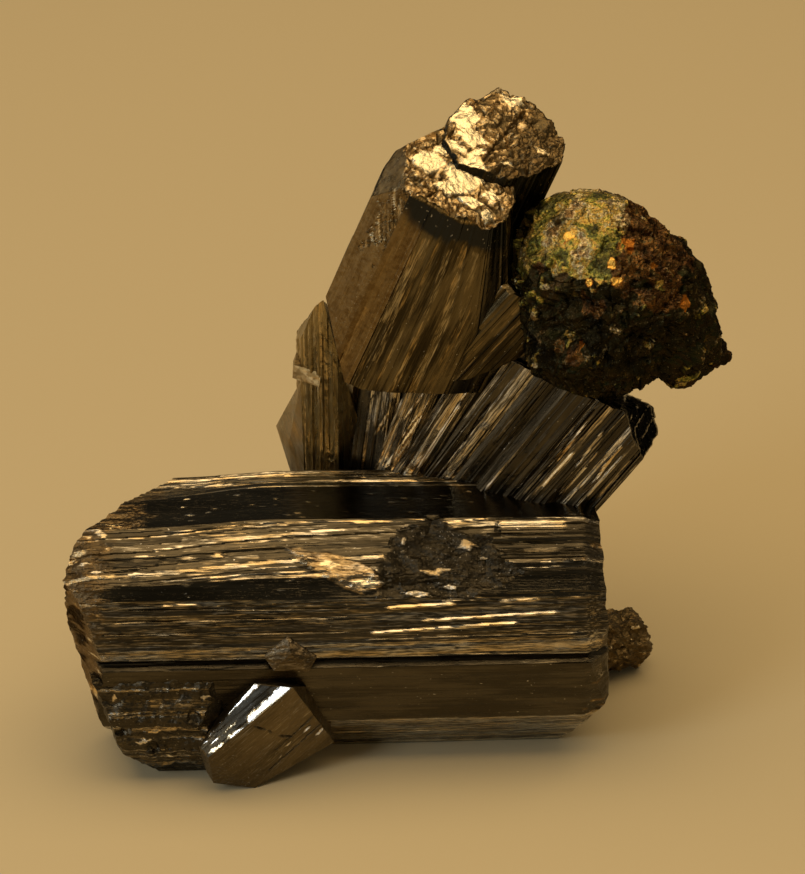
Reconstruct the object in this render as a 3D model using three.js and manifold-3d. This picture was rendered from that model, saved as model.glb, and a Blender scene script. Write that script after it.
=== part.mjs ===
// Bournonite crystals with a rounded chalcopyrite, grown together in one thumb-sized cluster.
// Millimetres, +Z up. Each crystal is laid out in the cluster's own axes: x to the right, y to the
// rear, z up from the surface that the cluster stands on. The last lines move the whole group so
// that its origin is the middle of the bottom of its bounding box.

import * as THREE from 'three';
import { ConvexGeometry } from 'three/addons/geometries/ConvexGeometry.js';
import { mergeVertices } from 'three/addons/utils/BufferGeometryUtils.js';
import Module from 'manifold-3d';

const wasm = await Module();
wasm.setup();

// ---------------------------------------------------------------- driving dimensions

const CONTACT_GAP = 0.3;          // air left between two crystals that touch
const WORLD = 120;                // edge of the block that stands for a half space
const WELD = 1e-5;                // points nearer than this are one point
const SHARPEST_CORNER = 0.6;      // keeps a grown outline from running out at sharp corners
const GROUND = [[0, 0, 0], [0, 0, -1]];

// Main prism: a thick striated prism lying on its flat underside.
const MAIN_ORIGIN = [-6.08, 0, 0];
const MAIN_YAW = 2.2;             // degrees, right end turned to the rear
const MAIN_TAPER = 0.0011;        // loss of section per mm to the right
const MAIN_REACH = [-15, 20];     // run of the untrimmed bar along its axis
const MAIN_SECTION = [            // y, z of the corners, from the bottom front edge round the rear
  [-3.67, 0], [5.0, 0], [7.9, 4.2], [8.3, 7.9], [7.3, 11.2], [5.23, 13.2], [1.99, 14.57],
  [-1.53, 14.57], [-4.75, 12.71], [-5.56, 11.74], [-6.62, 8.4], [-6.1, 8.12], [-6.74, 7.75],
  [-6.12, 3.51],
];
const MAIN_ENDS = [               // point and outward normal of each face that ends the bar
  [[-17.4, -1.5, 8], [-0.86, 0.51, 0]],
  [[-17.6, -6.7, 8], [-0.727, -0.687, 0]],
  [[-19.2, -5, 9.5], [-0.958, 0, -0.287]],
  [[-17.4, -5, 3.5], [-0.8, 0, -0.6]],
  [[-13.0, 6.0, 8], [-0.6, 0.8, 0.1]],
  [[11.8, -5.3, 11.5], [1, 0.07, 0.04]],
  [[10.85, -6.1, 8], [0.73, -0.68, 0]],
  [[11.8, -5, 4.2], [0.86, 0, -0.51]],
  [[11.5, 3.0, 14.4], [0.7, 0.7, 0.15]],
];

const MAIN_PITS = [               // centre and radii: the broken patch, then the pits in the foot
  [[2.6, -5.4, 13.2], [2.6, 1.5, 1.9]],
  [[4.8, -5.7, 12.4], [1.7, 1.3, 1.4]],
  [[0.4, -6.2, 11.6], [1.5, 1.1, 1.3]],
  [[-16.6, -7.6, 6.4], [0.5, 0.7, 0.5]],
  [[-14.2, -8.0, 4.6], [1.6, 0.9, 0.5]],
  [[-12.4, -7.6, 6.2], [1.3, 0.8, 0.4]],
];
const MAIN_OVERGROWTH = [         // corners of the small crystal astride the lengthwise groove
  [-8.0, -6.6, 8.6], [-6.4, -7.15, 9.1], [-4.9, -6.6, 8.5], [-7.4, -7.1, 7.9], [-5.4, -7.1, 7.8],
  [-6.6, -6.2, 9.7], [-6.5, -5.6, 7.6],
];

// Foot: a second, rougher individual grown into the lower left of the main prism.
const FOOT_REACH = [-12.4, -4.6];
const FOOT_SECTION = [[-5.9, 0], [-2, 0], [-2, 7.2], [-6.6, 7.3], [-7.3, 4.4], [-7.1, 1.7]];
const FOOT_ENDS = [
  [[-17.3, -6, 4.2], [-0.9, -0.3, -0.25]],
  [[-16.2, -6, 1.5], [-0.62, -0.3, -0.72]],
  [[-10.6, -7, 3], [0.62, -0.75, 0.1]],
];

// Front prism: a small tilted crystal in a notch at the foot of the main prism, by its corners.
const FRONT_CORNERS = [
  [-11.75, -8.4, 3.4], [-8.5, -7.0, 6.9], [-6.3, -7.8, 7.2], [-11.2, -9.0, 3.1], [-8.6, -7.84, 0],
  [-11.0, -8.2, 0.64], [-11.4, -8.1, 1.44], [-4.0, -6.2, 2.1], [-4.6, -4.8, 5.2], [-9.0, -4.5, 6.0],
  [-10.5, -5.0, 1.5], [-7.0, -4.6, 0],
];

// End stub: a short broken crystal behind the right end, with a few grains at its tip.
const STUB_AXIS = [0.86, 0.42, -0.16];
const STUB_ORIGIN = [12.0, 3.9, 2.15];
const STUB_REACH = [-1, 2.6];
const STUB_SECTION = [[-1.5, -1.5], [0.4, -2.1], [1.8, -0.9], [1.6, 1.2], [0.1, 2.0], [-1.7, 1.1]];
const STUB_GRAINS = [[14.3, 4.7, 2.0], [14.6, 5.3, 1.2], [14.0, 5.4, 2.6]];
const STUB_GRAIN_RADII = [0.75, 0.7, 0.65];

// Tall prism with a two-lobed top: two individuals with nearly the same axis, and a shorter one
// that leans further over at the foot of its front.
const TALL_AXIS = [0.4, -0.04, 1];
const TALL_TOP_NORMAL = [0.28, -0.4, 0.87];
const TALL_SEATS = [              // the shallow V in which it stands, and its side on the blade
  [[0, 4.5, 19.3], [-0.36, -0.1, -0.93]],
  [[0, 4.5, 19.3], [0.4, -0.1, -0.91]],
  [[4.5, 4, 21.1], [0.12, -0.1, -0.99]],
  [[-4.2, 7, 24.4], [-0.975, 0, -0.22]],
];
const FRONT_LOBE_TOP = [4.36, 3.0, 31.66];
const FRONT_LOBE = [              // corners across the axis: to the right, to the rear
  [-13.5, 6.4], [-11.8, 4.9], [-10.4, 4.45], [-8.7, 3.95], [-7.1, 4.15], [-6.1, 5.0],
  [-5.7, 6.7], [-6.9, 9.3], [-9.5, 10.6], [-12.2, 9.4], [-13.2, 7.9],
];
const FRONT_LOBE_BEVELS = [
  [[0.2, 4.3, 33.6], [-0.62, -0.3, 0.72]],
  [[1.4, 7.6, 34.9], [-0.45, 0.45, 0.77]],
];
const REAR_LOBE_TOP = [5.3, 6.66, 33.65];
const REAR_LOBE = [
  [-10.6, 8.6], [-9.5, 7.3], [-6.6, 7.0], [-4.9, 8.0], [-3.6, 9.2], [-3.5, 10.5], [-4.5, 12.0],
  [-6.1, 12.8], [-8.0, 12.8], [-9.7, 11.8], [-10.5, 10.3],
];
const APRON_AXIS = [0.62, 0, 0.78];
const APRON_ORIGIN = [2.2, 3.3, 23.0];
const APRON_SECTION = [[0, 0.5], [0.7, 0], [3.4, 0.1], [5.6, 1.0], [5.6, 4], [0, 4]];
const APRON_REACH = [-6, 5.6];
const APRON_BEVEL = [[5.4, 3.4, 26.9], [0.1, -0.6, 0.8]];

// Fan of parallel laths that leans to the right and carries the tall prism. The laths share one
// front plane; each has its place along the foot line, its lean, its width and its rise.
const FAN_FRONT = [-0.3, -0.93, 0.15];
const FAN_FOOT = [-2.5, 5.47, 13.4];
const FAN_LATHS = [               // distance along the foot line, lean in degrees, width, rise, depth
  [0.2, 5, 3.0, -0.6, 5.2], [1.7, 18, 1.9, -0.2, 5.8], [3.0, 27, 2.2, 0.1, 6.1],
  [4.8, 31, 2.6, 0.3, 6.8], [6.6, 32, 2.6, 0.5, 6.5], [8.4, 33, 2.7, 1.5, 7.1],
  [10.4, 34, 2.8, 1.6, 6.8], [12.2, 34, 2.4, 1.2, 6.2], [13.6, 33, 1.6, 0.4, 5.4],
];
const FAN_TOP = [[9, 1.3, 21.9], [0.36, 0.35, 0.86]];   // seat of the chalcopyrite
const FAN_CREST = [[0, 5, 22], [0, 0.3, 0.95]];
const FAN_END = [[13.7, 2, 18.5], [0.93, -0.15, 0.3]];

// Upright blade at the left, with a wedge and a cross plate grown onto it.
const BLADE_SECTION = [
  [-6.3, 8.6], [-6.05, 7.1], [-4.8, 6.1], [-3.8, 5.9], [-2.65, 6.8], [-2.65, 10.6], [-4.6, 11.3],
  [-6.1, 10.6],
];
const BLADE_REACH = [5, 28];
const BLADE_ENDS = [
  [[-4.5, 7, 24.4], [0.975, 0, 0.22]],
  [[-6.1, 7, 21.3], [-0.945, 0, 0.327]],
  [[-5.2, 6.6, 24.0], [-0.42, 0.6, 0.68]],
  [[-4.4, 8, 10.8], [0.45, 0, -0.9]],
];

const BLADE_WEDGE = [             // corners of the wedge standing off to the left
  [-6.0, 7.4, 18.6], [-7.1, 7.5, 16.3], [-7.55, 7.6, 15.3], [-7.4, 7.6, 14.9], [-6.8, 7.2, 14.3],
  [-6.6, 7.2, 11.8], [-5.9, 7.0, 11.8], [-5.9, 9.6, 17.6], [-7.0, 9.4, 15.2], [-6.2, 9.6, 11.8],
];
const BLADE_PLATE = [             // corners of the thin plate lying across it
  [-6.5, 7.0, 19.0], [-4.9, 5.8, 19.1], [-4.8, 6.4, 19.8], [-6.4, 7.2, 19.75], [-6.5, 8.6, 19.2],
  [-6.3, 8.6, 19.8], [-5.0, 8.4, 19.0], [-5.0, 8.4, 19.7],
];

// Chalcopyrite: a rounded, pitted lump. Each bulge has a direction, a height and a spread.
const LUMP_CENTRE = [12.1, 5.4, 26.0];
const LUMP_RADIUS = 5.5;
const LUMP_DETAIL = 7;             // subdivisions of the ball that it starts from
const LUMP_BULGES = [
  [[0.8, -0.25, -0.5], 1.7, 0.4], [[-0.75, 0.3, 0.45], 1.0, 0.6], [[0.55, 0.4, 0.75], -1.1, 0.55],
  [[-0.5, -0.5, -0.7], 1.3, 0.5], [[-0.25, 0.15, -1], 1.7, 0.5], [[0.1, -0.8, -0.75], 0.5, 0.3],
];
const LUMP_KNOBS = 26;            // smaller bumps and hollows spread over it at random
const KNOB_HEIGHT = 0.45;         // from the deepest hollow to the highest bump
const KNOB_HOLLOWS = 0.55;        // share of them that are hollows
const KNOB_SPREAD = [0.22, 0.36]; // least and most, in radians
const LUMP_GRAIN = 0.2;           // roughness of its skin
const LUMP_CRUMBS = [             // centre and radius
  [[16.3, 4.2, 20.9], 1.0], [[17.1, 4.6, 21.4], 0.9], [[15.7, 3.6, 21.5], 0.8],
  [[18.2, 4.8, 22.0], 0.8], [[18.75, 4.8, 21.8], 0.4], [[17.6, 4.0, 22.7], 0.7],
  [[15.5, 6.2, 28.3], 0.6],
];

// Striations: mean pitch of the strips and how deep they are sunk, for each crystal.
const MAIN_STRIPS = [0.85, 0.2];
const FOOT_STRIPS = [0.9, 0.18];
const STUB_STRIPS = [0.7, 0.15];
const TALL_STRIPS = [0.9, 0.16];
const BLADE_STRIPS = [0.7, 0.18];
const FAN_STRIPS = [0.8, 0.16];
const STRIP_WIDTH = [0.35, 1.25];  // least and most, as shares of the pitch
const STRIP_SPACE = [0.2, 1.0];
const STRIP_SINK = [0.25, 1.0];    // least and most, as shares of the depth
const STRIP_SLOPE = 0.06;          // run of the slope at each edge of a strip
const STRIP_MARGIN = [0.6, 0.25];  // pitches left plain before the end of a side, at the least

// Growth steps that stop part way along the main prism.
const STEP_COUNT = 34;
const STEP_STATIONS = [-12, 17];
const STEP_WIDTH = [0.3, 1.0];
const STEP_RUN = [2.5, 9.5];
const STEP_DEPTH = [0.16, 0.32];
const STEP_LEAST_SIDE = 1.2;       // a side narrower than this gets none

// Roughness of the broken grains, as shares of their radii.
const PIT_ROUGHNESS = 0.2;
const GRAIN_ROUGHNESS = 0.25;
const CRUMB_ROUGHNESS = 0.22;
const STUB_TAPER = 0.05;
const CRUMB_FLATTENING = 0.9;
const LATH_OVERLAP = 0.15;         // what each lath of the fan shares with the next
const LATH_RUN = [-20, 12];
const TALL_RUN = [12, 40];

// ---------------------------------------------------------------- small tools

// Repeatable random numbers between 0 and 1.
function randomFrom(seed) {
  let state = seed;
  return () => {
    state = (state + 0x6d2b79f5) | 0;
    let t = Math.imul(state ^ (state >>> 15), 1 | state);
    t = (t + Math.imul(t ^ (t >>> 7), 61 | t)) ^ t;
    return ((t ^ (t >>> 14)) >>> 0) / 4294967296;
  };
}

const vector = (list) => new THREE.Vector3(...list);
const within = ([least, most], share) => least + (most - least) * share;

function solidFrom(geometry) {
  geometry.deleteAttribute('normal');
  geometry.deleteAttribute('uv');
  const merged = mergeVertices(geometry, WELD);
  return new wasm.Manifold(new wasm.Mesh({
    numProp: 3,
    vertProperties: new Float32Array(merged.attributes.position.array),
    triVerts: new Uint32Array(merged.index.array),
  }));
}

function geometryFrom(solid) {
  const mesh = solid.getMesh();
  const geometry = new THREE.BufferGeometry();
  geometry.setAttribute('position', new THREE.BufferAttribute(mesh.vertProperties, 3));
  geometry.setIndex(new THREE.BufferAttribute(mesh.triVerts, 1));
  return geometry;
}

// A right-handed set of axes: the third runs along the crystal, the first leans to `across`.
function axesOf(along, across) {
  const w = vector(along).normalize();
  const u = vector(across);
  u.addScaledVector(w, -u.dot(w)).normalize();
  const v = new THREE.Vector3().crossVectors(w, u);
  return { u, v, w };
}

function matrixOf(axes, origin) {
  return new THREE.Matrix4().makeBasis(axes.u, axes.v, axes.w).setPosition(...origin);
}

// A bar of the given outline between two stations along its axis.
function bar(outline, axes, origin, [from, to], taper = 0) {
  const shape = new THREE.Shape(outline.map(([a, b]) => new THREE.Vector2(a, b)));
  const geometry = new THREE.ExtrudeGeometry(shape, { depth: to - from, bevelEnabled: false });
  geometry.translate(0, 0, from);
  const place = geometry.attributes.position;
  for (let i = 0; i < place.count; i += 1) {
    const scale = 1 - taper * place.getZ(i);
    place.setXY(i, place.getX(i) * scale, place.getY(i) * scale);
  }
  geometry.applyMatrix4(matrixOf(axes, origin));
  return solidFrom(geometry);
}

// Everything beyond a plane.
function beyond(point, normal, shift = 0) {
  const n = vector(normal).normalize();
  const turn = new THREE.Quaternion().setFromUnitVectors(new THREE.Vector3(0, 0, 1), n);
  const block = new THREE.BoxGeometry(WORLD, WORLD, WORLD);
  block.translate(0, 0, WORLD / 2 + shift);
  block.applyQuaternion(turn);
  block.translate(...point);
  return solidFrom(block);
}

const trim = (solid, planes, shift = 0) => planes.reduce(
  (kept, [point, normal]) => kept.subtract(beyond(point, normal, shift)), solid);

// The outline moved outwards by a small amount, corner by corner.
function grown(outline, amount) {
  return outline.map((point, i) => {
    const before = outline[(i + outline.length - 1) % outline.length];
    const after = outline[(i + 1) % outline.length];
    const a = new THREE.Vector2(point[1] - before[1], before[0] - point[0]).normalize();
    const b = new THREE.Vector2(after[1] - point[1], point[0] - after[0]).normalize();
    const sum = a.clone().add(b);
    const reach = (2 * amount) / Math.max(sum.lengthSq(), SHARPEST_CORNER);
    return [point[0] + sum.x * reach, point[1] + sum.y * reach];
  });
}

// The outline with its sides broken into striations: strips stepped inwards by up to `depth`. The
// first `plainSides` sides stay flat.
function striated(outline, [pitch, depth], random, plainSides = 0) {
  const points = [];
  outline.forEach((start, i) => {
    const end = outline[(i + 1) % outline.length];
    const length = Math.hypot(end[0] - start[0], end[1] - start[1]);
    const along = [(end[0] - start[0]) / length, (end[1] - start[1]) / length];
    const inward = [-along[1], along[0]];
    points.push(start);
    let at = i < plainSides ? length : pitch * (0.5 + random());
    while (at < length - pitch * STRIP_MARGIN[0]) {
      const width = pitch * within(STRIP_WIDTH, random());
      const sunk = depth * within(STRIP_SINK, random());
      const stop = Math.min(at + width, length - pitch * STRIP_MARGIN[1]);
      const profile = [
        [at, 0], [at + STRIP_SLOPE, sunk], [stop - STRIP_SLOPE, sunk], [stop, 0],
      ];
      for (const [place, drop] of profile) {
        points.push([
          start[0] + along[0] * place + inward[0] * drop,
          start[1] + along[1] * place + inward[1] * drop,
        ]);
      }
      at = stop + pitch * within(STRIP_SPACE, random());
    }
  });
  return points;
}

// Shallow steps that stop part way along the sides of a bar, its first side left out.
function stepped(solid, outline, axes, origin, random) {
  const sides = outline.map((start, i) => [start, outline[(i + 1) % outline.length]]);
  let result = solid;
  for (let i = 0; i < STEP_COUNT; i += 1) {
    const [start, end] = sides[1 + Math.floor(random() * (sides.length - 1))];
    const length = Math.hypot(end[0] - start[0], end[1] - start[1]);
    if (length < STEP_LEAST_SIDE) {
      continue;
    }
    const width = Math.min(within(STEP_WIDTH, random()), length / 2);
    const middle = width / 2 + (length - width) * random();
    const run = within(STEP_RUN, random());
    const station = within(STEP_STATIONS, random());
    const depth = within(STEP_DEPTH, random());
    const angle = Math.atan2(end[1] - start[1], end[0] - start[0]);
    const slot = new THREE.BoxGeometry(width, depth * 2, run);
    slot.rotateZ(angle);
    slot.translate(
      start[0] + Math.cos(angle) * middle, start[1] + Math.sin(angle) * middle, station);
    slot.applyMatrix4(matrixOf(axes, origin));
    result = result.subtract(solidFrom(slot));
  }
  return result;
}

// A rough faceted lump: a ball of few faces with its corners moved in and out.
function boulder(centre, radii, detail, roughness, random) {
  const ball = new THREE.IcosahedronGeometry(1, detail);
  ball.deleteAttribute('normal');
  ball.deleteAttribute('uv');
  const merged = mergeVertices(ball, WELD);
  const place = merged.attributes.position;
  for (let i = 0; i < place.count; i += 1) {
    const reach = 1 + roughness * (random() - 0.5) * 2;
    place.setXYZ(
      i,
      centre[0] + place.getX(i) * radii[0] * reach,
      centre[1] + place.getY(i) * radii[1] * reach,
      centre[2] + place.getZ(i) * radii[2] * reach);
  }
  return solidFrom(merged);
}

const hull = (points) => solidFrom(new ConvexGeometry(points.map(vector)));

// ---------------------------------------------------------------- main prism

const mainAxes = axesOf(
  [Math.cos(THREE.MathUtils.degToRad(MAIN_YAW)), Math.sin(THREE.MathUtils.degToRad(MAIN_YAW)), 0],
  [0, 1, 0]);

function mainEnvelope(grow) {
  const prism = trim(
    bar(grown(MAIN_SECTION, grow), mainAxes, MAIN_ORIGIN, MAIN_REACH, MAIN_TAPER), MAIN_ENDS, grow);
  const foot = trim(
    bar(grown(FOOT_SECTION, grow), mainAxes, MAIN_ORIGIN, FOOT_REACH), FOOT_ENDS, grow);
  return prism.add(foot);
}

function mainPrism() {
  const random = randomFrom(11);
  let prism = bar(
    striated(MAIN_SECTION, MAIN_STRIPS, random, 1), mainAxes, MAIN_ORIGIN, MAIN_REACH, MAIN_TAPER);
  prism = stepped(prism, MAIN_SECTION, mainAxes, MAIN_ORIGIN, random);
  prism = trim(prism, MAIN_ENDS);
  let foot = bar(
    striated(FOOT_SECTION, FOOT_STRIPS, random, 1), mainAxes, MAIN_ORIGIN, FOOT_REACH);
  foot = trim(foot, FOOT_ENDS);
  let solid = prism.add(foot);
  for (const [centre, radii] of MAIN_PITS) {
    solid = solid.subtract(boulder(centre, radii, 1, PIT_ROUGHNESS, random));
  }
  return solid.add(hull(MAIN_OVERGROWTH));
}

// ---------------------------------------------------------------- small crystals on the main prism

function frontPrism() {
  return hull(FRONT_CORNERS).subtract(mainEnvelope(CONTACT_GAP));
}

function endStub() {
  const random = randomFrom(7);
  const axes = axesOf(STUB_AXIS, [0, 0, 1]);
  let stub = bar(
    striated(STUB_SECTION, STUB_STRIPS, random), axes, STUB_ORIGIN, STUB_REACH, STUB_TAPER);
  for (const centre of STUB_GRAINS) {
    stub = stub.add(boulder(centre, STUB_GRAIN_RADII, 1, GRAIN_ROUGHNESS, random));
  }
  return trim(stub, [GROUND]).subtract(mainEnvelope(CONTACT_GAP));
}

// ---------------------------------------------------------------- upper group

const tallAxes = axesOf(TALL_AXIS, [1, 0, 0]);
const apronAxes = axesOf(APRON_AXIS, [1, 0, 0]);

// The tall prism from its three outlines, each changed by `shape` before it is drawn out.
function tallFrom(shape, grow) {
  const origin = [0, 0, 0];
  const front = trim(
    bar(shape(FRONT_LOBE), tallAxes, origin, TALL_RUN),
    [[FRONT_LOBE_TOP, TALL_TOP_NORMAL], ...FRONT_LOBE_BEVELS], grow);
  const rear = trim(
    bar(shape(REAR_LOBE), tallAxes, origin, TALL_RUN), [[REAR_LOBE_TOP, TALL_TOP_NORMAL]], grow);
  const apron = trim(
    bar(shape(APRON_SECTION), apronAxes, APRON_ORIGIN, APRON_REACH), [APRON_BEVEL], grow);
  return trim(front.add(rear).add(apron), TALL_SEATS, grow);
}

const tallEnvelope = (grow) => tallFrom((outline) => grown(outline, grow), grow);

function bladeEnvelope(grow) {
  const blade = bar(
    grown(BLADE_SECTION, grow), axesOf([0, 0, 1], [1, 0, 0]), [0, 0, 0], BLADE_REACH);
  return trim(blade, BLADE_ENDS, grow);
}

function tallPrism() {
  const random = randomFrom(23);
  const solid = tallFrom((outline) => striated(outline, TALL_STRIPS, random), 0);
  return solid.subtract(bladeEnvelope(CONTACT_GAP));
}

function uprightBlade() {
  const random = randomFrom(5);
  const axes = axesOf([0, 0, 1], [1, 0, 0]);
  let blade = bar(striated(BLADE_SECTION, BLADE_STRIPS, random), axes, [0, 0, 0], BLADE_REACH);
  blade = trim(blade, BLADE_ENDS);
  return blade.add(hull(BLADE_WEDGE)).add(hull(BLADE_PLATE)).subtract(mainEnvelope(CONTACT_GAP));
}

function striatedPrism() {
  const random = randomFrom(31);
  const front = vector(FAN_FRONT).normalize();
  const level = new THREE.Vector3(-front.y, front.x, 0).normalize();
  const upward = new THREE.Vector3().crossVectors(front, level);
  const laths = FAN_LATHS.map(([distance, lean, width, rise, depth]) => {
    const angle = THREE.MathUtils.degToRad(lean);
    const along = level.clone().multiplyScalar(Math.sin(angle));
    along.addScaledVector(upward, Math.cos(angle));
    const across = level.clone().multiplyScalar(Math.cos(angle));
    across.addScaledVector(upward, -Math.sin(angle));
    const axes = axesOf(along.toArray(), across.toArray());
    const foot = vector(FAN_FOOT).addScaledVector(level, distance);
    const half = width * Math.cos(angle) / 2 + LATH_OVERLAP;
    const section = [
      [-half, 0.35 - rise], [-half * 0.6, -rise], [half * 0.55, -rise], [half, 0.5 - rise],
      [half, depth - 0.4], [half * 0.5, depth], [-half, depth - 0.25],
    ];
    return bar(striated(section, FAN_STRIPS, random), axes, foot.toArray(), LATH_RUN);
  });
  const fan = laths.reduce((whole, lath) => whole.add(lath));
  return trim(fan, [FAN_TOP, FAN_CREST, FAN_END, GROUND])
    .subtract(mainEnvelope(CONTACT_GAP))
    .subtract(bladeEnvelope(CONTACT_GAP))
    .subtract(tallEnvelope(CONTACT_GAP));
}

function chalcopyrite() {
  const random = randomFrom(41);
  const ball = new THREE.IcosahedronGeometry(1, LUMP_DETAIL);
  ball.deleteAttribute('normal');
  ball.deleteAttribute('uv');
  const lump = mergeVertices(ball, WELD);
  const place = lump.attributes.position;
  const direction = new THREE.Vector3();
  const bulges = [...LUMP_BULGES];
  for (let i = 0; i < LUMP_KNOBS; i += 1) {
    const toward = [random() - 0.5, random() - 0.5, random() - 0.5];
    const height = KNOB_HEIGHT * (random() - KNOB_HOLLOWS);
    bulges.push([toward, height, within(KNOB_SPREAD, random())]);
  }
  for (let i = 0; i < place.count; i += 1) {
    direction.fromBufferAttribute(place, i).normalize();
    let reach = LUMP_RADIUS + LUMP_GRAIN * (random() - 0.5);
    for (const [toward, height, spread] of bulges) {
      const off = direction.angleTo(vector(toward));
      reach += height * Math.exp(-((off / spread) ** 2));
    }
    direction.multiplyScalar(reach).add(vector(LUMP_CENTRE));
    place.setXYZ(i, direction.x, direction.y, direction.z);
  }
  let solid = solidFrom(lump);
  for (const [centre, radius] of LUMP_CRUMBS) {
    const radii = [radius, radius, radius * CRUMB_FLATTENING];
    solid = solid.add(boulder(centre, radii, 1, CRUMB_ROUGHNESS, random));
  }
  const [point, normal] = FAN_TOP;
  const below = beyond(point, normal.map((value) => -value), -CONTACT_GAP);
  return solid.subtract(below).subtract(tallEnvelope(CONTACT_GAP));
}

// ---------------------------------------------------------------- assembly

const bournonite = (shade) => new THREE.MeshStandardMaterial({
  color: new THREE.Color(0.2 * shade, 0.17 * shade, 0.13 * shade), roughness: 0.35, metalness: 0.9,
});
const tarnishedBrass = new THREE.MeshStandardMaterial({
  color: new THREE.Color(0.3, 0.25, 0.09), roughness: 0.45, metalness: 0.8,
});

const pieces = [
  ['main_prism', mainPrism(), bournonite(1)],
  ['front_prism', frontPrism(), bournonite(1.1)],
  ['end_stub', endStub(), bournonite(0.9)],
  ['terminated_prism', tallPrism(), bournonite(1.2)],
  ['striated_prism', striatedPrism(), bournonite(1)],
  ['upright_blade', uprightBlade(), bournonite(1.15)],
  ['chalcopyrite', chalcopyrite(), tarnishedBrass],
];

const group = new THREE.Group();
for (const [name, solid, material] of pieces) {
  const mesh = new THREE.Mesh(geometryFrom(solid), material);
  mesh.name = name;
  group.add(mesh);
}

const box = new THREE.Box3().setFromObject(group);
group.position.set(-(box.min.x + box.max.x) / 2, -(box.min.y + box.max.y) / 2, -box.min.z);

export default group;
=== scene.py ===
import collections
import itertools
import math

import bmesh
import bpy
import numpy as np
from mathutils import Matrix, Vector


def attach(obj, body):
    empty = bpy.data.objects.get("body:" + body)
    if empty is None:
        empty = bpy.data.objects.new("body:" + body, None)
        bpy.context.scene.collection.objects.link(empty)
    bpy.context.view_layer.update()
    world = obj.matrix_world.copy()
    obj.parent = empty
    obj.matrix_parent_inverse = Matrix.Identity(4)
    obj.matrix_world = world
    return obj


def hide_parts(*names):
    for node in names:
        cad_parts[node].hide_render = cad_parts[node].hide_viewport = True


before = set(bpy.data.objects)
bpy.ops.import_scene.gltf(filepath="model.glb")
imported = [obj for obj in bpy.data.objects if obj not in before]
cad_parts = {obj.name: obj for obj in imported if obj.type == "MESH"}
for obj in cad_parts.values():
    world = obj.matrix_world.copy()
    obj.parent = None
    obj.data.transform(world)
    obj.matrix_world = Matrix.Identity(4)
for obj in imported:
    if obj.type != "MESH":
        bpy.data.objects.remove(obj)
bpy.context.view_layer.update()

# A group of bournonite crystals with a chalcopyrite lump. Lengths are in millimetres in the
# group's own axes, x to the right, y to the rear and z up; OFFSET and MM take them to the frame.
# A plane is a point on it and its outward normal. A section lies across its crystal's axis.

MM = 0.001
OFFSET = np.array([0.1121, -1.5126, 0.0])
ROOT = "root"

# ------------------------------------------------------------------ driving dimensions

MAIN_ORIGIN = (-6.08, 0, 0)
MAIN_YAW = math.radians(2.2)
MAIN_TAPER = 0.0011
MAIN_SECTION = [
    (-3.67, 0), (5.0, 0), (7.9, 4.2), (8.3, 7.9), (7.3, 11.2), (5.23, 13.2), (1.99, 14.57),
    (-1.53, 14.57), (-4.75, 12.71), (-5.56, 11.74), (-6.62, 8.4), (-6.1, 8.12), (-6.74, 7.75),
    (-6.12, 3.51),
]
MAIN_ENDS = [
    ((-17.4, -1.5, 8), (-0.86, 0.51, 0)),
    ((-17.6, -6.7, 8), (-0.727, -0.687, 0)),
    ((-19.2, -5, 9.5), (-0.958, 0, -0.287)),
    ((-17.4, -5, 3.5), (-0.8, 0, -0.6)),
    ((-13.0, 6.0, 8), (-0.6, 0.8, 0.1)),
    ((11.8, -5.3, 11.5), (1, 0.07, 0.04)),
    ((10.85, -6.1, 8), (0.73, -0.68, 0)),
    ((11.8, -5, 4.2), (0.86, 0, -0.51)),
    ((11.5, 3.0, 14.4), (0.7, 0.7, 0.15)),
]
OVERGROWTH = [
    (-8.0, -6.6, 8.6), (-6.4, -7.15, 9.1), (-4.9, -6.6, 8.5), (-7.4, -7.1, 7.9), (-5.4, -7.1, 7.8),
    (-6.6, -6.2, 9.7), (-6.5, -5.6, 7.6),
]
FOOT_REACH = (-12.4, -4.6)
FOOT_SECTION = [(-5.9, 0), (-2, 0), (-2, 7.2), (-6.6, 7.3), (-7.3, 4.4), (-7.1, 1.7)]
FOOT_ENDS = [
    ((-17.3, -6, 4.2), (-0.9, -0.3, -0.25)),
    ((-16.2, -6, 1.5), (-0.62, -0.3, -0.72)),
    ((-10.6, -7, 3), (0.62, -0.75, 0.1)),
]
FRONT_CORNERS = [
    (-11.75, -8.4, 3.4), (-8.5, -7.0, 6.9), (-6.3, -7.8, 7.2), (-11.2, -9.0, 3.1), (-8.6, -7.84, 0),
    (-11.0, -8.2, 0.64), (-11.4, -8.1, 1.44), (-4.0, -6.2, 2.1), (-4.6, -4.8, 5.2),
    (-9.0, -4.5, 6.0), (-10.5, -5.0, 1.5), (-7.0, -4.6, 0),
]
STUB_AXIS = (0.86, 0.42, -0.16)
STUB_ORIGIN = (12.0, 3.9, 2.15)
STUB_SECTION = [(-1.5, -1.5), (0.4, -2.1), (1.8, -0.9), (1.6, 1.2), (0.1, 2.0), (-1.7, 1.1)]
STUB_REACH = (-1, 2.6)

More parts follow.
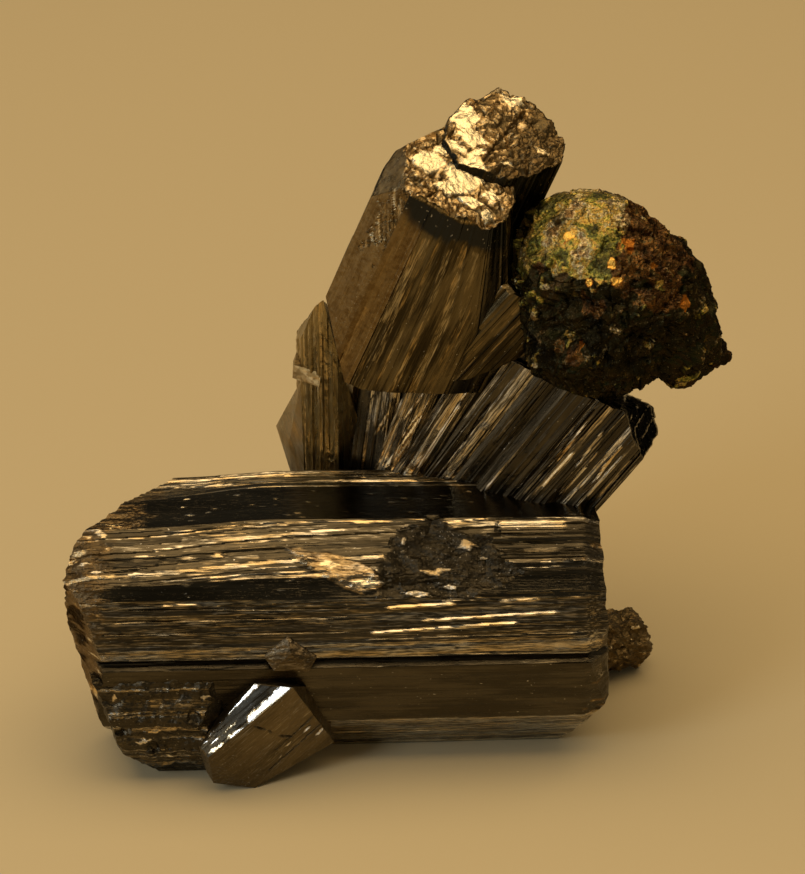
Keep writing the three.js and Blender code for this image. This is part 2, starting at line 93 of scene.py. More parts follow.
TALL_AXIS = (0.4, -0.04, 1)
TALL_TOP_NORMAL = (0.28, -0.4, 0.87)
TALL_SEATS = [
    ((0, 4.5, 19.3), (-0.36, -0.1, -0.93)),
    ((0, 4.5, 19.3), (0.4, -0.1, -0.91)),
    ((4.5, 4, 21.1), (0.12, -0.1, -0.99)),
    ((-4.2, 7, 24.4), (-0.975, 0, -0.22)),
]
FRONT_LOBE_TOP = (4.36, 3.0, 31.66)
FRONT_LOBE = [
    (-13.5, 6.4), (-11.8, 4.9), (-10.4, 4.45), (-8.7, 3.95), (-7.1, 4.15), (-6.1, 5.0),
    (-5.7, 6.7), (-6.9, 9.3), (-9.5, 10.6), (-12.2, 9.4), (-13.2, 7.9),
]
FRONT_LOBE_BEVELS = [
    ((0.2, 4.3, 33.6), (-0.62, -0.3, 0.72)),
    ((1.4, 7.6, 34.9), (-0.45, 0.45, 0.77)),
]
REAR_LOBE_TOP = (5.3, 6.66, 33.65)
REAR_LOBE = [
    (-10.6, 8.6), (-9.5, 7.3), (-6.6, 7.0), (-4.9, 8.0), (-3.6, 9.2), (-3.5, 10.5), (-4.5, 12.0),
    (-6.1, 12.8), (-8.0, 12.8), (-9.7, 11.8), (-10.5, 10.3),
]
APRON_AXIS = (0.62, 0, 0.78)
APRON_ORIGIN = (2.2, 3.3, 23.0)
APRON_SECTION = [(0, 0.5), (0.7, 0), (3.4, 0.1), (5.6, 1.0), (5.6, 4), (0, 4)]
APRON_REACH = (-6, 5.6)
APRON_BEVEL = ((5.4, 3.4, 26.9), (0.1, -0.6, 0.8))

FAN_FRONT = (-0.3, -0.93, 0.15)
FAN_FOOT = (-2.5, 5.47, 13.4)
FAN_LATHS = [
    (0.2, 5, 3.0, -0.6, 5.2), (1.7, 18, 1.9, -0.2, 5.8), (3.0, 27, 2.2, 0.1, 6.1),
    (4.8, 31, 2.6, 0.3, 6.8), (6.6, 32, 2.6, 0.5, 6.5), (8.4, 33, 2.7, 1.5, 7.1),
    (10.4, 34, 2.8, 1.6, 6.8), (12.2, 34, 2.4, 1.2, 6.2), (13.6, 33, 1.6, 0.4, 5.4),
]
FAN_TOP = ((9, 1.3, 21.9), (0.36, 0.35, 0.86))
FAN_CREST = ((0, 5, 22), (0, 0.3, 0.95))
FAN_END = ((13.7, 2, 18.5), (0.93, -0.15, 0.3))
GROUND = ((0, 0, 0), (0, 0, -1))

BLADE_SECTION = [
    (-6.3, 8.6), (-6.05, 7.1), (-4.8, 6.1), (-3.8, 5.9), (-2.65, 6.8), (-2.65, 10.6), (-4.6, 11.3),
    (-6.1, 10.6),
]
BLADE_ENDS = [
    ((-4.5, 7, 24.4), (0.975, 0, 0.22)),
    ((-6.1, 7, 21.3), (-0.945, 0, 0.327)),
    ((-5.2, 6.6, 24.0), (-0.42, 0.6, 0.68)),
    ((-4.4, 8, 10.8), (0.45, 0, -0.9)),
]
BLADE_WEDGE = [
    (-6.0, 7.4, 18.6), (-7.1, 7.5, 16.3), (-7.55, 7.6, 15.3), (-7.4, 7.6, 14.9), (-6.8, 7.2, 14.3),
    (-6.6, 7.2, 11.8), (-5.9, 7.0, 11.8), (-5.9, 9.6, 17.6), (-7.0, 9.4, 15.2), (-6.2, 9.6, 11.8),
]
BLADE_PLATE = [
    (-6.5, 7.0, 19.0), (-4.9, 5.8, 19.1), (-4.8, 6.4, 19.8), (-6.4, 7.2, 19.75), (-6.5, 8.6, 19.2),
    (-6.3, 8.6, 19.8), (-5.0, 8.4, 19.0), (-5.0, 8.4, 19.7),
]

LUMP_CENTRE = (12.1, 5.4, 26.0)
LUMP_RADIUS = 5.5
LUMP_BULGES = [
    ((0.8, -0.25, -0.5), 1.7, 0.4), ((-0.75, 0.3, 0.45), 1.0, 0.6), ((0.55, 0.4, 0.75), -1.1, 0.55),
    ((-0.5, -0.5, -0.7), 1.3, 0.5), ((-0.25, 0.15, -1), 1.7, 0.5), ((0.1, -0.8, -0.75), 0.5, 0.3),
]
LUMP_KNOBS = 26
LUMP_CRUMBS = [
    ((16.3, 4.2, 20.9), 1.0), ((17.1, 4.6, 21.4), 0.9), ((15.7, 3.6, 21.5), 0.8),
    ((18.2, 4.8, 22.0), 0.8), ((18.75, 4.8, 21.8), 0.4), ((17.6, 4.0, 22.7), 0.7),
    ((15.5, 6.2, 28.3), 0.6),
]

# ------------------------------------------------------------------ noise


TABLE = np.random.default_rng(2).random(1 << 16)


def lattice(i, j, k, seed):
    mixed = (i * 73856093) ^ (j * 19349663) ^ (k * 83492791) ^ (seed * 2654435761)
    return TABLE[(mixed ^ (mixed >> 13)) & 65535]


def smooth_noise(p, size, seed=0):
    """Smooth noise from 0 to 1 at points p, with features of about that size."""
    q = np.asarray(p, float) / size + 1000.0
    cell = np.floor(q).astype(np.int64)
    f = q - cell
    f = f * f * (3 - 2 * f)
    total = 0
    for bits in itertools.product((0, 1), repeat=3):
        weight = 1
        for axis, bit in enumerate(bits):
            weight = weight * (f[..., axis] if bit else 1 - f[..., axis])
        total = total + weight * lattice(
            cell[..., 0] + bits[0], cell[..., 1] + bits[1], cell[..., 2] + bits[2], seed)
    return total


def layered_noise(p, size, octaves, seed=0, ridged=False):
    """Several layers of smooth noise, from -1 to 1 (0 to 1 when ridged)."""
    total, weight, norm = 0, 1.0, 0
    for octave in range(octaves):
        n = smooth_noise(p, size / 2 ** octave, seed + 17 * octave) * 2 - 1
        total = total + weight * (1 - np.abs(n) if ridged else n)
        norm += weight
        weight *= 0.55
    return total / norm


def cells(p, size, seed=0):
    """For each point: distance to its nearest scattered cell centre, distance to the border with
    the next cell, and two random numbers of the cell."""
    q = np.asarray(p, float) / size + 500.0
    base = np.floor(q).astype(np.int64)
    best = np.full(q.shape[:-1], 9.0)
    second = best.copy()
    pick = np.zeros(q.shape[:-1])
    other = pick.copy()
    for step in itertools.product((-1, 0, 1), repeat=3):
        c = base + step
        *jitter, first, last = [
            lattice(c[..., 0], c[..., 1], c[..., 2], seed + n) for n in range(1, 6)]
        d = np.sqrt(sum((c[..., n] + jitter[n] - q[..., n]) ** 2 for n in range(3)))
        closer = d < best
        second = np.where(closer, best, np.minimum(second, d))
        pick = np.where(closer, first, pick)
        other = np.where(closer, last, other)
        best = np.where(closer, d, best)
    return best * size, (second - best) * size, pick, other


def crumpled(p, size, seed=0):
    """A sheet crumpled into flat triangles of about that size, from -0.5 to 0.5. It reads the
    first two numbers of each point; the third picks the sheet."""
    q = np.asarray(p, float) / size
    warp = 0.6 * np.stack([smooth_noise(q, 2.3, seed + n) - 0.5 for n in (1, 2)], -1)
    x, y = q[..., 0] + warp[..., 0], q[..., 1] + warp[..., 1]
    layer = np.floor(q[..., 2] * size + 0.5).astype(np.int64)
    skew = (x + y) * 0.366
    i, j = np.floor(x + skew), np.floor(y + skew)
    u, v = x + skew - i, y + skew - j
    i, j = i.astype(np.int64) + 4000, j.astype(np.int64) + 4000
    first = u > v
    long, short = np.maximum(u, v), np.minimum(u, v)
    near = lattice(i, j, layer, seed)
    side = lattice(i + first, j + ~first, layer, seed)
    far = lattice(i + 1, j + 1, layer, seed)
    return near * (1 - long) + side * (long - short) + far * short - 0.5


def ease(x, low, high):
    t = np.clip((x - low) / (high - low), 0, 1)
    return t * t * (3 - 2 * t)


def blend(a, b, share):
    return a * (1 - share) + b * share


def sheet(a, b, height=0.0):
    """Points from two coordinates, all at one height."""
    return np.stack([a, b, np.full_like(b, height)], -1)


def raised(place, height):
    """Flat places, all at one height."""
    return np.concatenate([place, np.full(place[..., :1].shape, height)], -1)


def repeatable(seed):
    """The same run of numbers from 0 to 1 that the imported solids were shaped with."""
    state = seed
    mask = 0xFFFFFFFF
    while True:
        state = (state + 0x6D2B79F5) & mask
        t = ((state ^ (state >> 15)) * (1 | state)) & mask
        t = ((t + (((t ^ (t >> 7)) * (61 | t)) & mask)) & mask) ^ t
        yield ((t ^ (t >> 14)) & mask) / 4294967296


# ------------------------------------------------------------------ meshes


def unit(v):
    v = np.asarray(v, float)
    return v / np.linalg.norm(v)


def axes_of(along, across):
    """Rows u, v, w: w along the crystal, u towards `across`."""
    w = unit(along)
    u = np.asarray(across, float)
    u = unit(u - w * (u @ w))
    return np.array([u, np.cross(w, u), w])


MARKS = ("shine", "rough", "broken", "gilt")
GRAIN_SHIFT = np.array([37.0, 11.0, 0.0])       # moves the grain from crystal to crystal
SHARP = math.radians(22)          # edges sharper than this are not shaded smooth


class Shell:
    """A closed surface: points, quads, triangles, and for each point where it lies in its own
    crystal (`grain`), how freshly it shines, its roughness and how broken or gilded it is."""

    def __init__(self, points, quads, triangles, grain, shine=0.2, rough=0.3, broken=0.0, gilt=0.0):
        self.points = points
        self.quads = quads
        self.triangles = triangles
        self.grain = grain
        for key, value in zip(MARKS, (shine, rough, broken, gilt)):
            setattr(self, key, np.broadcast_to(np.asarray(value, float), (len(points),)))


def sampled(outline, spacing):
    """Points along the outline with the side that each is on, its outward normal and how far round
    it is. The count is a multiple of 16. spacing is one number or one for each side."""
    corners = np.array(outline, float)
    count = len(corners)
    spacing = np.broadcast_to(spacing, (count,))
    nexts = np.roll(corners, -1, 0)
    lengths = np.linalg.norm(nexts - corners, axis=1)
    shares = np.maximum(np.round(lengths / spacing), 2).astype(int)
    spare = -shares.sum() % 16
    order = np.argsort(-lengths)
    for i in range(spare):
        shares[order[i % min(4, count)]] += 1
    side = np.repeat(np.arange(count), shares)
    share = np.concatenate([np.arange(n) / n for n in shares])
    place = corners[side] + (nexts - corners)[side] * share[:, None]
    along = ((nexts - corners) / lengths[:, None])[side]
    normal = np.stack([along[:, 1], -along[:, 0]], 1)
    first = share == 0
    before = np.roll(normal, 1, 0)
    mixed = normal + before
    normal[first] = (mixed / np.linalg.norm(mixed, axis=1, keepdims=True))[first]
    start = np.concatenate([[0], np.cumsum(lengths)[:-1]])
    return place, side, normal, start[side] + share * lengths[side], share


def between(axes, origin, across, planes, reach):
    """Where lines along the crystal at these places across it meet the planes that end it."""
    base = np.asarray(origin, float) + across[..., 0:1] * axes[0] + across[..., 1:2] * axes[1]
    start = np.full(across.shape[:-1], float(reach[0]))
    stop = np.full(across.shape[:-1], float(reach[1]))
    for point, normal in planes:
        n = unit(normal)
        slope = n @ axes[2]
        cut = ((np.asarray(point, float) - base) @ n) / slope
        if slope > 0:
            stop = np.minimum(stop, cut)
        else:
            start = np.maximum(start, cut)
    return start, stop


LEAST_LENGTH = 0.3                # of a crystal, where its end planes cross
FEWEST = 32                       # a ring of an end face isn't halved at this many points


def plain_end(place, end):
    return 0.15, 0.35, 0.3, 0.0


def turned(faces, end):
    """Faces of an end, turned so that they look outwards."""
    return faces if end else faces[:, ::-1]


def crystal(outline, axes, origin, planes, reach, spacing, rows, relief, rough=None, taper=0.0,
            rings=14, end_marks=plain_end, shift=None, seed=0):
    """A crystal drawn out along its axis. relief(side, share, around, t) gives how far each point
    stands out of its side, and its four marks; rough(across, end) how far the end faces stand
    out, and end_marks(across, end) their marks. shift(side, share, t) moves the outline itself."""
    across, side, normal, around, share = sampled(outline, spacing)
    count = len(across)
    centre = across.mean(0)

    def ends(place):
        start, stop = between(axes, origin, place, planes, reach)
        if rough is not None:
            start = start - rough(place, 0)
            stop = stop + rough(place, 1)
        return start, np.maximum(stop, start + LEAST_LENGTH)

    start, stop = ends(across)
    t = start + (stop - start) * np.linspace(0, 1, rows + 1)[:, None]
    sides, shares = np.broadcast_to(side, t.shape), np.broadcast_to(share, t.shape)
    height, *marks = relief(sides, shares, np.broadcast_to(around, t.shape), t)
    marks = [[np.broadcast_to(m, t.shape).reshape(-1)] for m in marks]
    place = across + normal * height[..., None]
    if shift is not None:
        place = place + shift(sides, shares, t)
    # The end rows are moved once more, to lie on the end faces where the sides now are.
    for row, end in ((0, 0), (-1, 1)):
        t[row] = ends(place[row])[end]
    parts = [np.concatenate([place.reshape(-1, 2), t.reshape(-1, 1)], 1)]
    low = np.arange(rows)[:, None] * count + np.arange(count)
    beside = np.roll(low, -1, 1)
    quads = [np.stack([low, beside, beside + count, low + count], -1).reshape(-1, 4)]
    triangles = []

    def ring_of(spot, end):
        """Adds these points of an end face, and gives their numbers."""
        first = sum(len(part) for part in parts)
        parts.append(np.concatenate([spot, ends(spot)[end][:, None]], 1))
        for held, value in zip(marks, end_marks(spot, end)):
            held.append(np.broadcast_to(np.asarray(value, float), (len(spot),)))
        return np.arange(first, first + len(spot))

    # Each end face is closed by rings around its middle, which take half the points now and then.
    coarser = (rings // 2, (rings * 3) // 4, (rings * 7) // 8)
    for end, row in ((0, 0), (1, rows)):
        ring, size = np.arange(count) + row * count, count
        for k in range(1, rings + 1):
            if k in coarser and size > FEWEST:
                size //= 2
            spot = centre + (place[row][::count // size] - centre) * (1 - k / (rings + 0.6))
            new = ring_of(spot, end)
            first, last = ring, np.roll(ring, -1)
            if len(ring) > size:
                first, last = ring[1::2], np.roll(ring[0::2], -1)
                triangles.append(turned(np.stack([ring[0::2], first, new], 1), end))
            quads.append(turned(np.stack([first, last, np.roll(new, -1), new], 1), end))
            ring = new
        middle = np.repeat(ring_of(centre[None], end), size)
        triangles.append(turned(np.stack([ring, np.roll(ring, -1), middle], 1), end))
    local = np.concatenate(parts)
    points = (np.asarray(origin, float) + (local[:, :2] * (1 - taper * local[:, 2:])) @ axes[:2]
              + local[:, 2:] * axes[2])
    return Shell(points, np.concatenate(quads), np.concatenate(triangles),
                 local + seed * GRAIN_SHIFT, *[np.concatenate(held) for held in marks])


def arrays_of(work):
    """The points and the triangles of a bmesh, which this frees."""
    work.verts.ensure_lookup_table()
    points = np.array([v.co for v in work.verts])
    triangles = np.array([[v.index for v in f.verts] for f in work.faces])
    work.free()
    return points, triangles


NO_QUADS = np.zeros((0, 4), int)
SAME_FACE = 0.01                  # radians by which the faces of a hull have to differ
CUTS = 9                          # rounds in which long edges are halved
WELD = 1e-4                       # millimetres within which corners are joined
TINY = 1e-6
FAR = 99.0                        # millimetres, beyond everything


def nearest_face(corners, points):
    """The outward normal of the hull's face nearest to each point, and how far the point is from
    that face's rim."""
    corners = np.array(corners, float)
    planes = []
    for a, b, c in itertools.combinations(corners, 3):
        normal = np.cross(b - a, c - a)
        length = np.linalg.norm(normal)
        if length < TINY:
            continue
        normal = normal / length
        off = (corners - a) @ normal
        if off.max() < TINY:
            planes.append((*normal, normal @ a))
        elif off.min() > -TINY:
            planes.append((*-normal, -(normal @ a)))
    planes = np.unique(np.round(np.array(planes), 5), axis=0)
    depth = planes[:, 3] - points @ planes[:, :3].T
    return planes[depth.argmin(1), :3], np.sort(depth, axis=1)[:, 1]


def faceted(corners, size, relief, grain_axes, seed=0):
    """A convex crystal given by its corners, cut into small triangles. relief(points, normal, edge)
    gives how far each point stands out of its face, and its marks; edge is its distance from the
    face's rim."""
    work = bmesh.new()
    for corner in corners:
        work.verts.new(corner)
    bmesh.ops.convex_hull(work, input=work.verts)
    bmesh.ops.recalc_face_normals(work, faces=work.faces)
    bmesh.ops.dissolve_limit(work, angle_limit=SAME_FACE, verts=work.verts, edges=work.edges)
    bmesh.ops.triangulate(work, faces=work.faces)
    for _ in range(CUTS):
        long = [e for e in work.edges if e.calc_length() > size]
        if not long:
            break
        bmesh.ops.subdivide_edges(work, edges=long, cuts=1)
        bmesh.ops.triangulate(work, faces=work.faces)
    bmesh.ops.remove_doubles(work, verts=work.verts, dist=WELD)
    work.normal_update()
    points, triangles = arrays_of(work)
    normal, edge = nearest_face(corners, points)
    height, *marks = relief(points, normal, edge)
    points = points + normal * height[:, None]
    grain = points @ grain_axes.T + seed * GRAIN_SHIFT
    return Shell(points, NO_QUADS, triangles, grain, *marks)


BALL_DETAIL = 4


def boulder(centre, radius, flatter, bumps, seed, marks=(0.2, 0.35, 0.6, 0.0)):
    """A rough grain: a ball whose surface is cut by noise."""
    work = bmesh.new()
    bmesh.ops.create_icosphere(work, subdivisions=BALL_DETAIL, radius=1.0)
    points, triangles = arrays_of(work)
    reach = 1 + bumps * layered_noise(points, 0.9, 3, seed)
    _, _, pick, _ = cells(points, 0.7, seed + 5)
    reach = reach + bumps * 0.5 * (pick - 0.5)
    points = np.asarray(centre, float) + points * reach[:, None] * np.array(
        [radius, radius, radius * flatter])
    return Shell(points, NO_QUADS, triangles, points, *marks)


def piece(name, shells, material, node):
    """One object of these shells, in the frame, standing for a CAD node."""
    firsts = np.cumsum([0] + [len(s.points) for s in shells])
    points = (np.concatenate([s.points for s in shells]) + OFFSET) * MM
    quads = np.concatenate([s.quads + at for s, at in zip(shells, firsts)])
    triangles = np.concatenate([s.triangles + at for s, at in zip(shells, firsts)])
    mesh = bpy.data.meshes.new(name)
    mesh.vertices.add(len(points))
    mesh.vertices.foreach_set("co", points.astype(np.float32).ravel())
    corners = np.concatenate([quads.ravel(), triangles.ravel()]).astype(np.int32)
    starts = np.concatenate([
        np.arange(len(quads)) * 4, quads.size + np.arange(len(triangles)) * 3]).astype(np.int32)
    mesh.loops.add(len(corners))
    mesh.loops.foreach_set("vertex_index", corners)
    mesh.polygons.add(len(starts))
    mesh.polygons.foreach_set("loop_start", starts)
    mesh.update(calc_edges=True)
    grain = mesh.attributes.new("grain", "FLOAT_VECTOR", "POINT")
    grain.data.foreach_set(
        "vector", np.concatenate([s.grain for s in shells]).astype(np.float32).ravel())
    for key in MARKS:
        values = np.concatenate([getattr(s, key) for s in shells])
        mesh.attributes.new(key, "FLOAT", "POINT").data.foreach_set(
            "value", values.astype(np.float32))
    mesh.polygons.foreach_set("use_smooth", np.ones(len(starts), bool))
    mesh.set_sharp_from_angle(angle=SHARP)
    mesh.materials.append(material)
    if mesh.validate():
        print("mesh repaired:", name)
    made = bpy.data.objects.new(name, mesh)
    bpy.context.scene.collection.objects.link(made)
    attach(made, ROOT)
    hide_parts(node)
    print(name, len(quads) * 2 + len(triangles), "triangles")


# ------------------------------------------------------------------ striations

# Striations of a side: tilt of the strips in degrees, how far they step in, the narrowest and
# widest, their run along the crystal, how freshly they shine, how rough the dull ones are, and how
# far they drift across the side for each millimetre along it.
Style = collections.namedtuple("Style", "tilt step narrow wide run gloss dull drift",
                               defaults=(0.0,))
STATIONS = 26


def strips(rng, span, start, style):
    """Strips between two distances across a side, each stepped and tilted anew at stations along
    it. Gives a function of distance and station."""
    edges = [span[0]]
    while edges[-1] < span[1]:
        edges.append(edges[-1] + style.narrow + (style.wide - style.narrow) * rng.random() ** 2)
    edges = np.array(edges)
    count = len(edges) - 1
    spread = style.run * (0.25 + 1.5 * rng.random((count, STATIONS)))
    breaks = start - 2.5 * style.run * rng.random((count, 1)) + np.cumsum(spread, 1)
    steep = math.tan(math.radians(style.tilt))
    many = (count, STATIONS + 1)
    slopes = steep * (2 * rng.random((count, 1)) - 1 + 0.7 * (rng.random(many) - 0.5))
    levels = -style.step * (rng.random((count, 1)) + 0.6 * (rng.random(many) - 0.5))
    shines = np.clip(rng.random((count, 1)) ** 2.5 + 0.6 * (rng.random(many) - 0.5), 0, 1)
    middles = (edges[1:] + edges[:-1]) / 2

    def pattern(where, t):
        where = where + style.drift * t
        index = np.clip(np.searchsorted(edges, where, side="right") - 1, 0, count - 1)
        segment = (breaks[index] < t[..., None]).sum(-1)
        shine = shines[index, segment]
        height = levels[index, segment] + slopes[index, segment] * (where - middles[index])
        return height, shine * style.gloss, style.dull * (1 - 0.45 * shine)

    return pattern


def lengths_of(outline):
    corners = np.array(outline, float)
    return np.linalg.norm(np.roll(corners, -1, 0) - corners, axis=1)


def striated(outline, styles, seed, reach):
    """A relief function: each side gets strips of its own style. seed is a number or a generator
    of random numbers that goes on being used."""
    rng = np.random.default_rng(seed)
    lengths = lengths_of(outline)
    plan = {}
    for n, length in enumerate(lengths):
        style = styles.get(n, styles.get("all"))
        if style:
            drift = abs(style.drift) * max(abs(reach[0]), abs(reach[1]))
            plan[n] = strips(rng, (-drift, length + drift), reach[0], style)

    def relief(side, share, around, t):
        height = np.zeros(t.shape)
        shine = np.full(t.shape, 0.1)
        rough = np.full(t.shape, 0.3)
        for n, pattern in plan.items():
            on = np.flatnonzero(side[0] == n)
            where = share[:, on] * lengths[n]
            height[:, on], shine[:, on], rough[:, on] = pattern(where, t[:, on])
        return height, shine, rough, 0.0, 0.0

    return relief


def ridge_lines(along, across, lines):
    """Low ridges drawn on a surface. Each line has two ends (along, across), a width and a height,
    negative for a groove, and how freshly it shines. Gives the height and the shine."""
    height = np.zeros(along.shape)
    shine = np.zeros(along.shape)
    for a0, c0, a1, c1, width, lift, fresh in lines:
        way = np.array([a1 - a0, c1 - c0], float)
        length = np.linalg.norm(way)
        way /= length
        run = (along - a0) * way[0] + (across - c0) * way[1]
        off = (across - c0) * way[0] - (along - a0) * way[1]
        ends = ease(run, -0.1, 0.35) * ease(run, length + 0.1, length - 0.35)
        near = np.clip(1 - np.abs(off) / (width / 2 * (0.35 + 0.65 * ends)), 0, 1) * (ends > 0)
        height += lift * near * ends
        shine = np.maximum(shine, fresh * ease(near, 0.0, 0.45) * ends)
    return height, shine


# ------------------------------------------------------------------ materials


def material(name):
    made = bpy.data.materials.new(name)
    made.use_nodes = True
    tree = made.node_tree
    tree.nodes.clear()
    out = tree.nodes.new("ShaderNodeOutputMaterial")
    shader = tree.nodes.new("ShaderNodeBsdfPrincipled")
    tree.links.new(shader.outputs[0], out.inputs[0])
    return made, tree, shader


class Nodes:
    """Short ways to add nodes to a material."""

    def __init__(self, tree):
        self.tree = tree

    def set(self, socket, value):
        if isinstance(value, bpy.types.NodeSocket):
            self.tree.links.new(value, socket)
        elif hasattr(value, "__len__") and len(value) == 3 and socket.type == "RGBA":
            socket.default_value = (*value, 1)
        else:
            socket.default_value = value

    def attribute(self, name, output):
        return self.node("Attribute", {}, output, attribute_name=name)

    def node(self, kind, values, output=0, **settings):
        made = self.tree.nodes.new("ShaderNode" + kind)
        for key, value in settings.items():
            setattr(made, key, value)
        for key, value in values.items():
            self.set(made.inputs[key], value)
        return made.outputs[output]

    def math(self, kind, a, b):
        return self.node("Math", {0: a, 1: b}, operation=kind)

    def add(self, a, b):
        return self.math("ADD", a, b)

    def times(self, a, b):
        return self.math("MULTIPLY", a, b)

    def scaled(self, vector, factors):
        return self.node("VectorMath", {0: vector, 1: factors}, operation="MULTIPLY")

    def noise(self, vector, scale, detail, rough, distort=0.0):
        return self.node("TexNoise", {"Vector": vector, "Scale": scale, "Detail": detail,
                                      "Roughness": rough, "Distortion": distort}, "Fac")

    def voronoi(self, vector, scale):
        return self.node("TexVoronoi", {"Vector": vector, "Scale": scale}, "Distance")

    def remap(self, value, low, high, to_low=0.0, to_high=1.0):
        return self.node("MapRange", {"Value": value, "From Min": low, "From Max": high,
                                      "To Min": to_low, "To Max": to_high},
                         interpolation_type="SMOOTHSTEP")

    def mix(self, factor, a, b):
        return self.node("Mix", {0: factor, 6: a, 7: b}, 2, data_type="RGBA")

    def ramp(self, value, stops):
        node = self.tree.nodes.new("ShaderNodeValToRGB")
        self.set(node.inputs[0], value)
        while len(node.color_ramp.elements) < len(stops):
            node.color_ramp.elements.new(0.5)
        for element, (position, colour) in zip(node.color_ramp.elements, stops):
            element.position = position
            element.color = (*colour, 1)
        return node.outputs[0]

    def bump(self, height, strength, distance, **below):
        return self.node("Bump", {"Strength": strength, "Distance": distance, "Height": height,
                                  **below})


STRIATION_DEPTH, CRUMB_DEPTH, TARNISH_DEPTH = 0.00003, 0.0001, 0.00014      # bumps, in metres
WHITE = (1.0, 1.0, 1.0)
NEAR_BLACK, NO_SHEEN = (0.026, 0.027, 0.026), (0.12, 0.12, 0.12)    # where `shine` is negative: painted shade, and a few random dark patches
FLECK = (0.62, 0.60, 0.56)
METAL_SHADE = (0.92, 0.76, 0.50)  # what the darker parts of the fresh metal are toned by
CRUMB_SHADES = (0.55, 0.6)        # crumbs beside the film and beside the fresh metal
OCHRE, GOLD, PALE_GOLD = (0.21, 0.125, 0.043), (0.86, 0.64, 0.33), (0.95, 0.84, 0.58)


def toned(colour, shade):
    return tuple(part * by for part, by in zip(colour, np.broadcast_to(shade, 3)))


def bournonite(name, film, fresh, patchy=0.6):
    """Lead-grey metal under a thin dull film, with streaks along the crystal where the metal is
    fresh. It is painted near black where `shine` is negative: painted shade, and a few random dark
    patches. It is dark and crumbly where `broken` says and golden where `gilt` says. patchy is how
    dark the film's darker streaks are."""
    made, tree, shader = material(name)
    n = Nodes(tree)
    grain = n.attribute("grain", "Vector")
    shine, rough, broken, gilt = [n.attribute(key, "Fac") for key in MARKS]
    fine = n.noise(n.scaled(grain, (9, 9, 0.22)), 1.0, 4, 0.65)
    dash = n.noise(n.scaled(grain, (13, 13, 1.1)), 1.0, 3, 0.6)
    hair = n.noise(n.scaled(grain, (26, 26, 0.5)), 1.0, 2, 0.6)
    patch = n.noise(n.scaled(grain, (0.9, 0.9, 0.16)), 1.0, 5, 0.6)
    tone = n.noise(n.scaled(grain, (1.3, 1.3, 0.35)), 1.0, 3, 0.5)
    grit = n.noise(grain, 7.0, 3, 0.6)
    fleck = n.noise(n.scaled(grain, (9, 9, 5)), 1.0, 1, 0.4)
    streaky = n.add(patch, n.remap(fine, 0.3, 0.7, -0.08, 0.08))
    colour = n.mix(n.remap(streaky, 0.40, 0.60), film, toned(film, patchy))
    # painted shade: where `shine` is negative the colour goes near black, and below the sheen goes
    # dull
    dull = n.remap(shine, 0.0, -0.5)
    colour = n.mix(dull, colour, NEAR_BLACK)
    metal = n.mix(n.remap(tone, 0.38, 0.62), fresh, toned(fresh, METAL_SHADE))
    streak = n.add(n.remap(fine, 0.25, 0.75, -0.3, 0.3), n.remap(dash, 0.3, 0.7, -0.3, 0.3))
    streak = n.times(streak, n.remap(shine, 0.0, 0.35, 0.35, 1.0))
    colour = n.mix(n.remap(n.add(shine, streak), 0.15, 1.0), colour, metal)
    flecks = n.add(fleck, n.remap(shine, 0.0, -0.5, 0.0, 0.03))
    colour = n.mix(n.remap(flecks, 0.76, 0.80, 0.0, 0.75), colour, FLECK)
    crumbs = n.mix(n.remap(grit, 0.62, 0.74), toned(film, CRUMB_SHADES[0]),
                   toned(fresh, CRUMB_SHADES[1]))
    colour = n.mix(n.times(broken, n.remap(shine, 0.3, 0.7, 0.85, 0.0)), colour, crumbs)
    plate = n.noise(grain, 2.6, 4, 0.6)
    golden = n.times(n.remap(plate, 0.40, 0.56), n.remap(gilt, 0.5, 0.8, 0.15, 1.0))
    gold = n.mix(n.remap(shine, 0.5, 1.0), n.mix(golden, OCHRE, GOLD), PALE_GOLD)
    colour = n.mix(n.times(gilt, n.remap(grit, 0.25, 0.5, 0.7, 1.0)), colour, gold)
    n.set(shader.inputs["Base Color"], colour)
    shader.inputs["Metallic"].default_value = 1.0
    n.set(shader.inputs["Specular Tint"], n.mix(dull, WHITE, NO_SHEEN))
    worn = n.remap(n.noise(n.scaled(grain, (3, 3, 0.5)), 1.0, 4, 0.6), 0.35, 0.7, 0.8, 1.35)
    n.set(shader.inputs["Roughness"], n.add(n.times(rough, worn), n.times(broken, 0.12)))
    lines = n.add(fine, n.times(hair, 0.5))
    lines = n.add(lines, n.times(dash, 0.8))
    straight = n.bump(lines, 0.5, STRIATION_DEPTH)
    crumbly = n.add(n.noise(grain, 5.0, 5, 0.7), n.voronoi(grain, 4.0))
    crumbly = n.times(crumbly, n.add(broken, n.times(gilt, 0.5)))
    n.set(shader.inputs["Normal"], n.bump(crumbly, 0.6, CRUMB_DEPTH, Normal=straight))
    return made


# Colour ramps of the tarnish: position and colour of each stop.
TINTS = [
    (0.0, (0.075, 0.070, 0.020)), (0.16, (0.17, 0.18, 0.040)), (0.32, (0.38, 0.33, 0.055)),
    (0.46, (0.60, 0.44, 0.12)), (0.58, (0.46, 0.24, 0.055)), (0.70, (0.25, 0.25, 0.065)),
    (0.84, (0.70, 0.57, 0.33)), (1.0, (0.20, 0.12, 0.045)),
]
LIGHT_TINTS = [(0.0, (0.58, 0.30, 0.10)), (0.5, (0.66, 0.54, 0.12)), (1.0, (0.72, 0.62, 0.34))]
RUSTY_TINTS = [
    (0.0, (0.025, 0.018, 0.010)), (0.35, (0.11, 0.05, 0.018)), (0.6, (0.04, 0.032, 0.014)),
    (0.8, (0.24, 0.11, 0.03)), (1.0, (0.09, 0.07, 0.03)),
]
DARK_TINTS = [
    (0.0, (0.010, 0.009, 0.006)), (0.4, (0.022, 0.019, 0.008)), (0.62, (0.030, 0.021, 0.009)),
    (0.8, (0.020, 0.024, 0.011)), (1.0, (0.048, 0.033, 0.016)),
]
